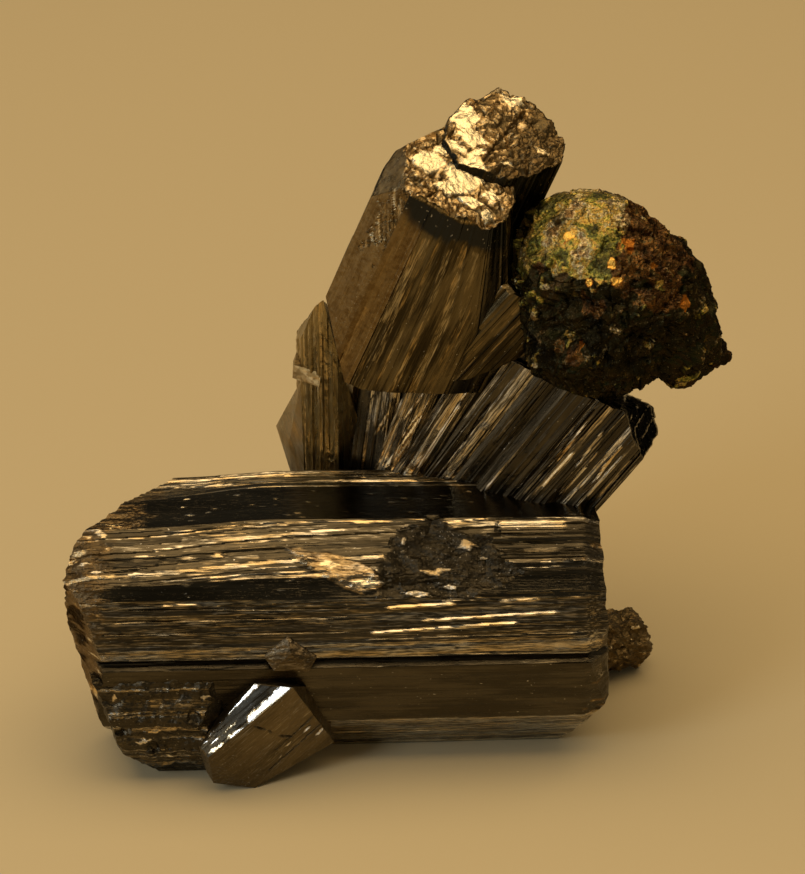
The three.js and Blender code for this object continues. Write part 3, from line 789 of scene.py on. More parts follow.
# Specks on the bright, the rusty and the dark tarnish: pits, or light grains; then the colour of
# the painted shade in the hollows and of the black grain.
PITS, RUSTY_PITS, HOLLOW_SHADE_AND_BLACK = (0.030, 0.022, 0.010), (0.018, 0.013, 0.008), (0.016, 0.012, 0.008)
RUSTY_GRAINS, PALE_GRAINS = (0.42, 0.26, 0.12), (0.34, 0.28, 0.17)
BETWEEN_TINTS = (0.045, 0.036, 0.014)
ORANGE, BRASSY, BROWN_SHEEN = (0.40, 0.15, 0.02), (0.95, 0.58, 0.12), (0.20, 0.16, 0.10)


def tarnished(name):
    """Chalcopyrite: brassy metal under tarnish: green, yellow, pink and gold where `gilt` says,
    which is painted light on the lit side, the ridge tops and the ledges; rusty where `rough` says;
    and dark brown elsewhere, painted shade away from the light. `shine` marks orange and golden
    spots and
    `broken` its hollows, painted dark as shade, and its black grain."""
    made, tree, shader = material(name)
    n = Nodes(tree)
    grain = n.attribute("grain", "Vector")
    spot, rust, hollow_shade_and_black, painted_lit_tints = [n.attribute(key, "Fac") for key in MARKS]
    wide = n.noise(grain, 0.42, 4, 0.6, 0.6)
    mid = n.noise(grain, 1.1, 5, 0.72, 0.4)
    fine = n.noise(grain, 5.5, 4, 0.7)
    speckle = n.noise(grain, 9.0, 3, 0.7)
    hue = n.add(n.noise(grain, 0.62, 4, 0.6, 0.4), n.remap(fine, 0.3, 0.7, -0.05, 0.05))
    light = n.ramp(n.remap(speckle, 0.3, 0.7), LIGHT_TINTS)
    tints = n.ramp(n.remap(hue, 0.34, 0.66), TINTS)
    tints = n.mix(n.remap(mid, 0.50, 0.38, 0.0, 0.85), tints, BETWEEN_TINTS)
    tints = n.mix(n.remap(fine, 0.57, 0.70, 0.0, 0.4), tints, light)
    tints = n.mix(n.remap(speckle, 0.45, 0.36, 0.0, 0.8), tints, PITS)
    rusty = n.ramp(n.remap(mid, 0.36, 0.64), RUSTY_TINTS)
    rusty = n.mix(n.remap(speckle, 0.46, 0.36, 0.0, 0.8), rusty, RUSTY_PITS)
    rusty = n.mix(n.remap(speckle, 0.60, 0.70, 0.0, 0.6), rusty, RUSTY_GRAINS)
    dark = n.ramp(n.remap(wide, 0.3, 0.7), DARK_TINTS)
    dark = n.mix(n.remap(speckle, 0.62, 0.70, 0.0, 0.5), dark, PALE_GRAINS)
    mottle = n.remap(n.noise(grain, 1.2, 5, 0.72), 0.3, 0.7, -0.35, 0.35)
    # painted light and shade: the dark tarnish stays as shade away from the light, and the bright
    # tints go where `gilt` paints the light
    colour = n.mix(n.remap(n.add(rust, mottle), 0.25, 0.6), dark, rusty)
    colour = n.mix(n.remap(n.add(painted_lit_tints, mottle), 0.25, 0.6), colour, tints)
    colour = n.mix(n.remap(spot, 0.1, 0.4), colour, n.mix(
        n.remap(spot, 0.5, 0.9), ORANGE, BRASSY))
    # painted shade in the hollows, and black on the black grain
    n.set(shader.inputs["Base Color"], n.mix(hollow_shade_and_black, colour, HOLLOW_SHADE_AND_BLACK))
    n.set(shader.inputs["Specular Tint"], n.mix(
        n.math("MAXIMUM", painted_lit_tints, spot), BROWN_SHEEN, WHITE))
    shader.inputs["Metallic"].default_value = 0.85
    n.set(shader.inputs["Roughness"], n.remap(fine, 0.3, 0.75, 0.20, 0.50))
    height = n.add(n.noise(grain, 3.6, 6, 0.74), n.times(n.voronoi(grain, 4.5), 0.4))
    n.set(shader.inputs["Normal"], n.bump(height, 0.55, TARNISH_DEPTH))
    return made


DARK = bournonite("bournonite_dark", (0.088, 0.075, 0.052), (0.80, 0.74, 0.62))
BRIGHT = bournonite("bournonite_glossy", (0.165, 0.128, 0.072), (0.85, 0.87, 0.90))
OLIVE = bournonite("bournonite_olive", (0.130, 0.100, 0.050), (0.50, 0.41, 0.25), 0.28)
BROWN = bournonite("bournonite_brown", (0.34, 0.26, 0.12), (0.62, 0.52, 0.33))
BRASS = tarnished("chalcopyrite_tarnished")

# ------------------------------------------------------------------ main prism

main_axes = axes_of((math.cos(MAIN_YAW), math.sin(MAIN_YAW), 0), (0, 1, 0))

MAIN_STYLES = {
    1: Style(9, 0.05, 0.15, 0.7, 9, 0.6, 0.3), 2: Style(10, 0.08, 0.12, 0.6, 8, 0.7, 0.3),
    3: Style(11, 0.10, 0.10, 0.6, 8, 0.7, 0.3), 4: Style(11, 0.10, 0.10, 0.6, 8, 0.7, 0.3),
    5: Style(20, 0.10, 0.07, 0.40, 5, 1.3, 0.3), 6: Style(1.0, 0.003, 0.9, 2.2, 12, 0.08, 0.17),
    7: Style(11, 0.07, 0.07, 0.34, 3.2, 0.8, 0.33, 0.045),
    8: Style(3, 0.03, 0.12, 0.5, 6, 0.2, 0.18, 0.02),
    9: Style(8, 0.05, 0.07, 0.5, 9, 0.4, 0.33, 0.02),
    11: Style(8, 0.06, 0.08, 0.3, 8, 0.3, 0.3, 0.02),
    12: Style(3.0, 0.02, 0.2, 1.0, 14, 0.15, 0.26), 13: Style(5, 0.03, 0.1, 0.6, 12, 0.4, 0.3),
}
MAIN_SPACING = [0.4, 0.2, 0.15, 0.13, 0.12, 0.08, 0.08, 0.058, 0.062, 0.062, 0.08, 0.07, 0.075,
                0.085]
MAIN_ROWS = 142
MAIN_REACH = (-15, 20)
PATCHED, BAND, SKIRT = 7, 6, 8    # sides: the one with the broken patch, the ones above and below
SWELL = 0.03                      # height of the broad swells of its sides
PAINTED_SHEEN = {13: 0.4, 9: 0.19}     # painted sheen: how much more freshly two of the lower sides shine, lightening them
RAGGED_RIM = (-0.04, 0.1)         # how wide the rims of the vein and of the patch are
# The section leans out of shape towards the left end: how far some of its corners move there.
MAIN_LEAN = {6: (-1.1, -0.2), 7: (-0.45, -0.25), 8: (-0.27, -0.25), 9: (0.0, 0.0)}
LEAN_STATIONS = (-1.0, -9.5)
RIDGE_RISE = (5, 0.55)            # a corner that rises in the middle, and by how much
RISE_STATIONS = (-8.0, 1.5, 13.0, 9.0)
END_BULGE = (-3.0, 13.7, 1.3, 0.75)     # middle, spread and height of a bulge of the left end
# Where strips of another style begin, on the face that carries the broken patch: the coarse dark
# steps at the right end, and the sparkling band above them.
COARSE_FROM = (10.9, 0.95)
COARSE = Style(26, 0.10, 0.14, 0.5, 4, 0.35, 0.3, 0.02)
SPARKLING_FROM = (11.6, 15.4)
SPARKLING = Style(8, 0.08, 0.07, 0.2, 0.6, 1.3, 0.24)

# Outlines on the unrolled sides: station along the prism, distance round it.
BROKEN_PATCH = [
    (7.9, 30.4), (6.9, 31.3), (5.8, 31.9), (5.2, 33.0), (4.6, 34.4), (4.3, 35.9), (9.0, 36.0),
    (11.2, 35.4), (13.0, 34.4), (11.6, 33.4), (11.2, 32.1), (9.4, 31.7), (8.6, 31.2),
]
GOLDEN_VEIN = [
    (-0.8, 32.6), (0.8, 32.9), (2.4, 33.2), (3.8, 33.8), (5.0, 34.5), (4.9, 35.3), (3.4, 35.5),
    (2.5, 35.2), (1.4, 34.5), (0.4, 33.8),
]
# Fresh plates left standing in the broken patch and the vein: middle, half length, half width.
PLATES = [
    (7.9, 34.1, 1.1, 0.42), (9.7, 32.5, 0.8, 0.3), (3.9, 34.9, 1.1, 0.35), (6.1, 32.3, 0.4, 0.3),
    (8.6, 35.2, 0.5, 0.2), (10.6, 33.4, 0.4, 0.2), (6.6, 35.5, 0.9, 0.22), (1.6, 33.7, 0.7, 0.3),
    (-4.6, 32.9, 0.6, 0.22), (-9.3, 33.9, 0.5, 0.25), (-10.7, 30.2, 0.8, 0.16),
    (-11.4, 31.1, 0.3, 0.25), (-12.7, 32.2, 0.5, 0.3), (-12.4, 33.0, 0.4, 0.2),
    (-6.5, 32.9, 0.5, 0.15), (-11.6, 33.6, 0.5, 0.15),
]
MAIN_LINES = [                    # ends (station, distance round), width, height, shine
    (-0.9, 24.8, 2.0, 24.5, 0.30, 0.09, 1.0), (1.9, 26.5, 6.1, 24.4, 0.16, 0.06, 0.9),
    (-8.5, 25.3, -2.5, 26.0, 0.22, 0.07, 0.8), (-6.0, 24.4, -1.2, 24.9, 0.16, 0.05, 0.7),
    (-7.9, 31.15, -1.0, 31.0, 0.12, 0.05, 0.8), (-1.0, 31.0, 7.4, 30.9, 0.12, 0.05, 1.0),
    (0.6, 31.6, 2.8, 31.5, 0.18, 0.03, 1.2), (-8.5, 32.3, -6.6, 32.15, 0.12, 0.03, 1.1),
    (-9.6, 32.65, -7.6, 32.6, 0.10, 0.03, 1.1), (-2.8, 32.2, -0.5, 32.1, 0.10, 0.03, 1.0),
    (-8.0, 34.3, 0.6, 34.2, 0.12, 0.04, 0.9), (-2.8, 33.95, 0.1, 33.85, 0.16, 0.02, 0.8),
    (2.7, 31.1, 7.0, 30.95, 0.12, 0.03, 1.0), (8.2, 31.1, 11.1, 30.85, 0.14, 0.04, 1.0),
    (4.9, 36.4, 8.9, 36.2, 0.22, 0.12, 1.3), (6.9, 37.2, 14.9, 36.8, 0.18, 0.10, 1.2),
    (4.0, 37.9, 12.6, 37.4, 0.24, 0.12, 1.3), (11.3, 36.1, 13.8, 36.0, 0.18, 0.10, 1.1),
    (13.8, 33.8, 16.1, 33.6, 0.12, 0.06, 1.0), (12.6, 34.1, 15.2, 34.0, 0.10, 0.05, 0.7),
    (-8.0, 36.1, -5.6, 36.0, 0.12, 0.06, 0.8),
    (-11.4, 32.85, -0.6, 32.65, 0.16, -0.10, 0.0), (-11.5, 33.7, -8.6, 33.4, 0.12, -0.08, 0.0),
    (-11.4, 36.3, 2.8, 36.4, 0.14, -0.09, 0.0), (-11.4, 37.05, 2.8, 36.9, 0.12, -0.08, 0.0),
    (-11.4, 37.75, 2.8, 37.8, 0.12, -0.08, 0.0), (-1.0, 31.9, 2.6, 31.8, 0.12, -0.08, 0.0),
    (11.7, 30.8, 11.3, 32.4, 0.16, -0.14, 0.0), (8.98, 37.2, 9.04, 46.5, 0.08, -0.07, 0.0),
]
# A rough golden crust on the left end: the stations over which it begins on each side.
CRUST_FROM = {4: (-5.0, -8.0), 5: (-7.5, -9.5), 6: (-8.9, -10.3), 7: (-10.9, -12.4),
              8: (-10.6, -12.0), 9: (-11.6, -12.8)}
# A stretch of painted shade, dark and smooth, on the side below the striated face: stations where
# it comes and goes.
PAINTED_SHADE_STRETCH = (-11.0, -10.2, 2.4, 1.2)
BROWN_RIGHT = (16.0, 16.8)        # stations over which the right end turns brown
BEVEL_LEFT = (-11.9, -13.2)       # stations over which the ends round off
BEVEL_RIGHT = (16.3, 17.5)
BEVEL_DROP = 0.42


def within(outline, along, across, wobble):
    """How far inside the outline a point is, in millimetres; negative outside."""
    corners = np.array(outline, float)
    p = np.stack([along, across], -1) + wobble[..., None] * np.array([0.8, 0.5])
    nearest = np.full(along.shape, FAR)
    odd = np.zeros(along.shape, bool)
    for a, b in zip(corners, np.roll(corners, -1, 0)):
        edge = b - a
        f = np.clip(((p - a) @ edge) / (edge @ edge), 0, 1)
        nearest = np.minimum(nearest, np.linalg.norm(p - a - f[..., None] * edge, axis=-1))
        crosses = (a[1] > p[..., 1]) != (b[1] > p[..., 1])
        rise = edge[1] if abs(edge[1]) > TINY else TINY
        odd ^= crosses & (p[..., 0] < a[0] + (p[..., 1] - a[1]) / rise * edge[0])
    return np.where(odd, nearest, -nearest)


def crumpled_layers(p, size, seed):
    return crumpled(p, size, seed) + 0.5 * crumpled(p, size * 0.45, seed + 1) + 0.22 * crumpled(
        p, size * 0.2, seed + 2)


def main_prism():
    rng = np.random.default_rng(11)
    base = striated(MAIN_SECTION, MAIN_STYLES, rng, MAIN_REACH)
    length = lengths_of(MAIN_SECTION)[PATCHED]
    coarse = strips(rng, (-1, length + 1), MAIN_REACH[0], COARSE)
    sparkling = strips(rng, (-1, length + 1), MAIN_REACH[0], SPARKLING)

    def relief(side, share, around, t):
        height, shine, rough, _, _ = base(side, share, around, t)
        where = share * length
        for pattern, chosen in (
                (coarse, (t > COARSE_FROM[0]) & (where > COARSE_FROM[1])),
                (sparkling, (t > SPARKLING_FROM[0]) & (t < SPARKLING_FROM[1])
                 & (where <= COARSE_FROM[1]) & (where > 0.05))):
            on = chosen & (side == PATCHED)
            height[on], shine[on], rough[on] = pattern(where[on], t[on])
        p = sheet(around, t * 0.25)
        height += layered_noise(p, 2.2, 2, 3) * SWELL * (side > 0)
        p = sheet(around, t)
        ends = np.maximum(ease(t, -9.5, -12.6), ease(t, 15.8, 17.3)) * (side > 0)
        height += layered_noise(p, 0.8, 4, 4) * 0.08 * ends
        lines, fresh = ridge_lines(t, around, MAIN_LINES)
        height += lines
        shine = np.maximum(shine, fresh)
        wobble = layered_noise(p, 0.7, 3, 5) * 0.7
        flat = sheet(t * 0.8, around)
        facets = crumpled_layers(flat, 0.8, 8)
        broken = 0.4 * ends
        # The dark smooth stretch of painted shade, and the bright specks on it and on the upper
        # band.
        dark = (side == SKIRT) * ease(t, *PAINTED_SHADE_STRETCH[:2]) * ease(t, *PAINTED_SHADE_STRETCH[2:])
        shine = blend(shine, -0.7, dark)
        height = height * (1 - 0.8 * dark)
        rough = rough * (1 - 0.3 * dark)
        off, _, pick, _ = cells(p * np.array([1, 0.35, 1]), 0.34, 12)
        speck = ease(off, 0.09, 0.03) * (pick > 0.5) * np.maximum(0.7 * dark, side == BAND)
        shine = np.where(speck > 0, np.maximum(shine, 1.3 * speck), shine)
        height += 0.03 * speck
        # The golden crust at the left end, and the browned right end.
        crust = np.zeros(t.shape)
        for n, (start, full) in CRUST_FROM.items():
            crust = np.where(side == n, ease(t + 1.6 * (wobble - 0.35), start, full), crust)
        mottle = layered_noise(p, 0.5, 3, 13)
        height += crust * (0.16 * crumpled_layers(flat, 0.6, 14) - 0.04)
        gilt = crust * (0.3 + 0.65 * ease(mottle, 0.38, 0.55))
        broken = np.maximum(broken, crust * ease(mottle, 0.5, 0.3) * 0.7)
        shine = np.maximum(shine, crust * ease(mottle, 0.5, 0.62) * 0.9)
        browned = ease(t + 0.8 * wobble, *BROWN_RIGHT)
        gilt = np.maximum(gilt, 0.7 * browned * ease(mottle, 0.35, 0.6))
        # The golden vein, the broken patch and the plates left on both.
        vein = ease(within(GOLDEN_VEIN, t, around, wobble), *RAGGED_RIM)
        height = blend(height, 0.02 + 0.34 * facets, vein)
        shine = blend(shine, 0.55, vein)
        gilt = np.maximum(gilt, 0.55 * vein)
        depth = within(BROKEN_PATCH, t, around, wobble)
        patch = ease(depth, *RAGGED_RIM)
        height = blend(height, -0.10 - 0.30 * ease(depth, 0, 1.2) + 0.42 * facets, patch)
        shine = blend(shine, 0.08, patch)
        broken = np.maximum(broken, patch)
        gilt = gilt * (1 - patch)
        for t0, a0, long, wide in PLATES:
            off = np.abs(t - t0 - 0.5 * wobble) / long + np.abs(around - a0 - 0.3 * wobble) / wide
            plate = ease(off, 1.0, 0.75)
            height = blend(height, 0.6 * height + 0.02 + 0.05 * facets, plate)
            shine = np.maximum(shine, plate * 1.1)
        height -= BEVEL_DROP * (ease(t, *BEVEL_LEFT) + ease(t, *BEVEL_RIGHT)) * (side > 0)
        height[side == 0] = 0
        rough = rough * (1 - 0.4 * np.clip(fresh, 0, 1)) + 0.05 * broken
        # painted sheen on two of the lower sides
        for n, more in PAINTED_SHEEN.items():
            shine = shine + more * (side == n)
        return height, shine, rough, broken, gilt

    def shift(side, share, t):
        count = len(MAIN_SECTION)
        lean = np.array([MAIN_LEAN.get(n % count, (0.0, 0.0)) for n in range(count + 1)])
        moved = blend(lean[side], lean[side + 1], share[..., None])
        moved = moved * ease(t, *LEAN_STATIONS)[..., None]
        corner, rise = RIDGE_RISE
        near = np.where(side == corner, 1 - share, np.where(side == corner - 1, share, 0.0))
        moved[..., 1] += rise * near * ease(t, *RISE_STATIONS[:2]) * ease(t, *RISE_STATIONS[2:])
        return moved

    def rough(place, end):
        p = raised(place, 40.0 * end)
        x, y, spread, height = END_BULGE
        far = ((place[..., 0] - x) ** 2 + (place[..., 1] - y) ** 2) / spread ** 2
        bulge = height * np.exp(-far) * (end == 0)
        return layered_noise(p, 1.0, 4, 20) * 0.14 + crumpled_layers(p, 1.1, 21) * 0.20 + bulge

    def end_marks(place, end):
        p = raised(place, 40.0 * end)
        golden = (1 - 0.7 * end) * ease(layered_noise(p, 1.2, 4, 22), 0.10, 0.30)
        fresh = (1 - 0.7 * end) * ease(layered_noise(p, 0.50, 3, 23), 0.26, 0.40)
        dark = (1 - end) * ease(layered_noise(p, 0.60, 3, 24), 0.0, 0.2)
        return (0.1 + 0.8 * fresh - 0.9 * dark, 0.34 - 0.1 * fresh, 0.4 * (1 - golden),
                (0.5 * (1 - end) + 0.4 * golden) * (1 - 0.7 * dark))

    return crystal(MAIN_SECTION, main_axes, MAIN_ORIGIN, MAIN_ENDS, MAIN_REACH, MAIN_SPACING,
                   MAIN_ROWS, relief, rough, MAIN_TAPER, rings=16, end_marks=end_marks,
                   shift=shift, seed=1)


FOOT_STYLE = Style(12, 0.08, 0.1, 0.5, 1.6, 0.6, 0.28)
FOOT_SPACING = [0.4, 0.4, 0.3, 0.08, 0.08, 0.1]
FOOT_ROWS = 100
FOOT_PITS = [(-10.5, 19.2, 0.55, 0.3), (-8.6, 20.6, 0.5, 0.2), (-6.2, 18.4, 0.6, 0.25)]
FOOT_PLATES = [
    (-9.3, 20.0, 0.45, 0.14), (-8.6, 19.3, 0.5, 0.16), (-5.6, 17.0, 0.25, 0.2),
    (-10.8, 17.0, 0.2, 0.3), (-7.6, 21.0, 0.3, 0.12),
]


def foot():
    base = striated(FOOT_SECTION, {"all": FOOT_STYLE, 0: None}, 4, FOOT_REACH)

    def relief(side, share, around, t):
        p = sheet(around, t)
        height, shine, rough, _, _ = base(side, share, around, t)
        facets = crumpled_layers(p, 1.1, 35)
        wobble = layered_noise(p, 0.8, 3, 31)
        height = height * 0.7 + 0.34 * facets + wobble * 0.08
        for t0, a0, r0, deep in FOOT_PITS:
            off = np.hypot(t - t0, around - a0) + 0.35 * wobble
            height -= deep * ease(off, r0, r0 * 0.3)
        for t0, a0, long, wide in FOOT_PLATES:
            off = np.abs(t - t0 + 0.4 * wobble) / long + np.abs(around - a0 - 0.3 * wobble) / wide
            shine = np.maximum(shine, 1.2 * ease(off, 1.0, 0.7))
        off, _, pick, _ = cells(p, 0.26, 36)
        speck = ease(off, 0.09, 0.04) * (pick > 0.55) * ease(wobble, 0.45, 0.6)
        shine = np.maximum(shine, 1.3 * speck)
        height[side == 0] = 0
        return height, shine * 0.9, rough, 0.5 * (1 - speck), 0.0

    def rough(place, end):
        p = raised(place, 7.0 * end)
        return layered_noise(p, 0.9, 4, 20) * 0.14 + crumpled_layers(p, 0.8, 24) * 0.2

    return crystal(FOOT_SECTION, main_axes, MAIN_ORIGIN, FOOT_ENDS, FOOT_REACH, FOOT_SPACING,
                   FOOT_ROWS, relief, rough, rings=12, seed=2)


def small_relief(axis, amount, width, seed, marks=(0.2, 0.3, 0.1, 0.0)):
    """Striations and facets for a small crystal with its own axis."""
    frame_axes = axes_of(axis, (0.3, 0.2, 1))

    def relief(points, normal, edge):
        q = points @ frame_axes.T
        across = np.concatenate([q[:, :2], q[:, 2:] * 0.08], 1)
        lines = layered_noise(across, width, 3, seed)
        lumps = layered_noise(points, width * 3, 3, seed + 1)
        return amount * (lines * 0.7 + lumps * 0.5) * ease(edge, 0, 0.12), *marks

    return relief, frame_axes


main_shells = [main_prism(), foot()]
grown_relief, grown_axes = small_relief((1, 0, 0.1), 0.16, 0.4, 51, (0.2, 0.3, 0.4, 0.15))
main_shells.append(faceted(OVERGROWTH, 0.08, grown_relief, grown_axes, seed=3))
piece("main_prism_dressed", main_shells, DARK, "main_prism")

# ------------------------------------------------------------------ front prism

# Lines on the two faces that show, along the crystal and across it from its lower left corner.
FRONT_AXIS = (0.754, 0.185, 0.631)
FRONT_TOP = (-0.34, -0.71, 0.62)
FRONT_FLAT = (0.31, -0.946, -0.094)
FRONT_STRIPS = Style(20, 0.07, 0.08, 0.3, 1.6, 0.5, 0.25)
FRONT_PLATES = [                  # ends (along, across), width
    (5.3, 1.60, 2.25, 1.38, 0.52), (6.6, 0.22, 3.1, 0.08, 0.78), (2.75, -0.05, 1.5, 0.12, 0.34),
    (1.3, 0.1, 0.1, 0.2, 0.30), (2.05, 1.3, 1.5, 1.15, 0.16), (1.3, 1.1, 0.7, 0.95, 0.14),
    (3.9, 1.9, 2.9, 1.85, 0.12), (0.6, 0.85, 0.2, 0.8, 0.14), (2.6, 0.62, 1.6, 0.6, 0.12),
    (1.3, 0.52, 0.5, 0.5, 0.12),
]
FRONT_LINES = [
    (3.2, -0.4, 3.5, -1.3, 0.16, -0.13, 0.0), (3.5, -1.3, 3.6, -2.1, 0.20, -0.16, 0.0),
    (3.6, -2.1, 4.14, -3.1, 0.18, -0.15, 0.0),
    (3.8, -1.4, 4.3, -1.3, 0.08, -0.05, 0.0), (5.1, -0.85, 5.0, -1.85, 0.06, -0.04, 0.0),
    (5.4, -3.34, 4.6, -3.37, 0.18, 0.13, 1.3), (3.9, -3.3, 3.3, -3.26, 0.12, 0.09, 1.2),
    (5.9, -4.17, 4.9, -4.21, 0.22, 0.14, 1.3), (2.9, -3.55, 2.5, -3.6, 0.16, 0.1, 1.2),
    (6.4, -2.9, 1.2, -3.0, 0.12, -0.08, 0.0), (6.2, -3.8, 1.4, -3.85, 0.14, -0.1, 0.0),
]


def front_prism():
    rng = np.random.default_rng(61)
    axes = axes_of(FRONT_AXIS, (0, 0, 1))
    low_corner = np.array(FRONT_CORNERS[3])
    top_across = np.cross(unit(FRONT_TOP), axes[2])
    flat_across = np.cross(unit(FRONT_FLAT), axes[2])
    pattern = strips(rng, (-3, 4), -4, FRONT_STRIPS)

    def relief(points, normal, edge):
        off = points - low_corner
        along = off @ axes[2]
        on_top = (normal @ unit(FRONT_TOP) > 0.8)
        on_flat = (normal @ unit(FRONT_FLAT) > 0.9)
        across = np.where(on_top, off @ top_across, off @ flat_across)
        wobble = layered_noise(points, 0.5, 3, 62) + 1.2 * layered_noise(points, 0.2, 2, 66)
        p = sheet(across, along * 0.2)
        height = 0.04 * layered_noise(p, 0.5, 3, 63)
        shine = np.full(len(points), 0.16)
        rough = np.full(len(points), 0.34)
        broken = 0.25 + 0.35 * ease(along, 2.2, 0.5) * on_flat
        stepped, glossy, _ = pattern(across, along)
        height = np.where(on_top, stepped, height)
        crumbly = on_top * ease(along, 2.6, 1.6)
        height = height + crumbly * 0.16 * crumpled_layers(p * np.array([1, 3, 1]), 0.45, 64)
        # painted shade: the top face is painted dark between the strips that shine
        shine = np.where(on_top, 0.5 * glossy - 0.55 + 0.1 * crumbly, shine)
        for a0, c0, a1, c1, width in FRONT_PLATES:
            lift, fresh = ridge_lines(
                along, across + 0.10 * wobble, [(a0, c0, a1, c1, width, 1.0, 1.0)])
            plate = ease(lift, 0.05, 0.35) * on_top
            height = blend(height, 0.02, plate)
            shine = np.where(plate > 0, np.maximum(shine, 1.3 * plate), shine)
            rough = np.where(plate > 0.5, 0.16, rough)
        lift, fresh = ridge_lines(along, across + 0.06 * wobble, FRONT_LINES)
        height = height + lift * on_flat
        shine = np.where(on_flat, np.maximum(shine, fresh), shine)
        return height * ease(edge, 0, 0.05), shine, rough, broken * (shine < 0.6), 0.0

    return faceted(FRONT_CORNERS, 0.08, relief, axes, seed=4)


piece("front_prism_dressed", [front_prism()], BRIGHT, "front_prism")

# ------------------------------------------------------------------ end stub

STUB_STYLE = Style(12, 0.10, 0.1, 0.5, 2, 0.5, 0.3)
STUB_SPACING, STUB_ROWS = 0.08, 44
STUB_CRUMBS = [                   # centre and radius of the grains at its tip
    ((14.1, 4.7, 2.0), 0.62), ((14.35, 5.2, 1.3), 0.55), ((13.9, 5.4, 2.6), 0.5),
    ((14.5, 4.9, 1.7), 0.3), ((14.2, 4.3, 1.2), 0.32), ((13.6, 4.4, 2.9), 0.3),
    ((14.0, 5.9, 1.9), 0.35),
]


def end_stub():
    axes = axes_of(STUB_AXIS, (0, 0, 1))
    base = striated(STUB_SECTION, {"all": STUB_STYLE}, 7, STUB_REACH)

    def relief(side, share, around, t):
        p = sheet(around, t)
        height, shine, rough, _, _ = base(side, share, around, t)
        height = height * 0.6 + layered_noise(p, 0.7, 4, 41) * 0.08
        height = height + 0.4 * crumpled_layers(p, 0.7, 42)
        glints = ease(layered_noise(p, 0.35, 2, 45), 0.45, 0.6)
        return height, np.maximum(shine, glints), rough, 0.6, 0.25

    def rough(place, end):
        p = raised(place, 5.0 * end)
        return (layered_noise(p, 0.8, 4, 43) * 0.2 + 0.6 * crumpled_layers(p, 0.7, 44)) * end

    def end_marks(place, end):
        return 0.3, 0.3, 0.6, 0.2

    return crystal(STUB_SECTION, axes, STUB_ORIGIN, [], STUB_REACH, STUB_SPACING, STUB_ROWS,
                   relief, rough, taper=0.05, end_marks=end_marks, seed=5)


stub_shells = [end_stub()]
for n, (centre, radius) in enumerate(STUB_CRUMBS):
    stub_shells.append(boulder(centre, radius, 0.9, 0.34, 70 + n))
piece("end_stub_dressed", stub_shells, OLIVE, "end_stub")

# ------------------------------------------------------------------ terminated prism

tall_axes = axes_of(TALL_AXIS, (1, 0, 0))
TALL_REACH = (12, 40)
# Styles of the sides of the two lobes: the first side of the front lobe faces left, and carries
# short oblique steps in its upper part.
LOBE_STYLES = {
    "all": Style(9, 0.06, 0.07, 0.45, 6, 0.45, 0.3), 0: Style(3, 0.02, 0.2, 0.8, 9, 0.15, 0.3),
    1: Style(8, 0.06, 0.1, 0.5, 8, 0.4, 0.3),
}
OBLIQUE = Style(26, 0.10, 0.08, 0.30, 1.0, 1.4, 0.25, 0.6)
OBLIQUE_FROM = (25.4, 31.2)
# Below its end the front lobe grows wider to the right: how far its corners have moved at the
# lower of two stations.
FLARE = {3: 0.8, 4: 1.9, 5: 3.1, 6: 3.1, 7: 1.5}
FLARE_STATIONS = (31.2, 24.0)
FRONT_LOBE_SPACING = [0.07, 0.07, 0.07, 0.07, 0.07, 0.10, 0.2, 0.25, 0.2, 0.14, 0.1]
REAR_LOBE_SPACING = [0.16, 0.12, 0.09, 0.09, 0.09, 0.12, 0.14, 0.16, 0.16, 0.16, 0.16]
FRONT_LOBE_ROWS, REAR_LOBE_ROWS = 110, 80
TALL_RINGS = 46
SHADE_BELOW_END = (2.1, 1.1)       # how far below the front lobe's end a band of painted shade reaches
# Across the ends: a crease over the rear one, and a line beyond which it is darker and rougher.
CREASE = [(-6.1, 12.2, -7.2, 9.8, 0.34, -0.30, 0.0), (-7.2, 9.8, -8.2, 7.6, 0.30, -0.24, 0.0)]
DARKER_BEYOND = (-6.5, 0.35)      # place of the line at the middle, its lean
GOLD_PLATES = [                   # middle, half width each way: large fresh plates on the ends
    (-11.1, 7.3, 1.1, 1.0), (-8.9, 7.0, 1.3, 1.4), (-9.6, 5.9, 1.0, 0.6), (-10.2, 8.3, 1.0, 0.5),
    (-9.6, 10.3, 1.0, 1.1), (-9.0, 9.1, 0.9, 0.7), (-7.0, 12.3, 0.8, 0.6), (-8.6, 8.1, 0.7, 0.4),
    (-8.3, 5.4, 0.8, 0.4), (-7.2, 6.1, 0.6, 0.5),
    (-7.4, 4.9, 0.5, 0.3), (-4.9, 9.4, 0.5, 0.3), (-7.0, 8.0, 0.5, 0.2),
]


def hackly(place, height, seed):
    """The rough golden end, crumpled into facets: how far it stands out, how much of each point
    belongs to a large fresh plate, and how much to a valley or the crease, where the end's colour
    is darkened as painted shade."""
    p = raised(place, height)
    wobble = layered_noise(p, 0.9, 3, seed + 3)
    plate = np.zeros(place.shape[:-1])
    for x, y, half_x, half_y in GOLD_PLATES:
        off = np.abs(place[..., 0] - x + 0.4 * wobble) / half_x + np.abs(
            place[..., 1] - y - 0.4 * wobble) / half_y
        plate = np.maximum(plate, ease(off, 1.15, 0.85))
    facets = 0.70 * crumpled(p, 1.6, seed) + 0.50 * crumpled(p, 0.6, seed + 1) + 0.22 * crumpled(
        p, 0.25, seed + 2)
    warp = p + 0.35 * wobble[..., None] * np.array([1.0, -1.0, 0.0])
    _, border, _, _ = cells(warp, 1.1, seed + 9)
    _, small_border, _, _ = cells(warp, 0.45, seed + 10)
    valley_shade = np.maximum(1 - ease(border, 0, 0.15), 0.7 * (1 - ease(small_border, 0, 0.06)))
    relief = facets - 0.18 * valley_shade + wobble * 0.1
    crease, _ = ridge_lines(place[..., 0], place[..., 1] + 0.15 * wobble, CREASE)
    relief = relief * (1 - 0.75 * plate) + 0.05 * plate + crease
    return relief, plate, np.maximum(valley_shade * (1 - 0.6 * plate), ease(crease, -0.02, -0.15))


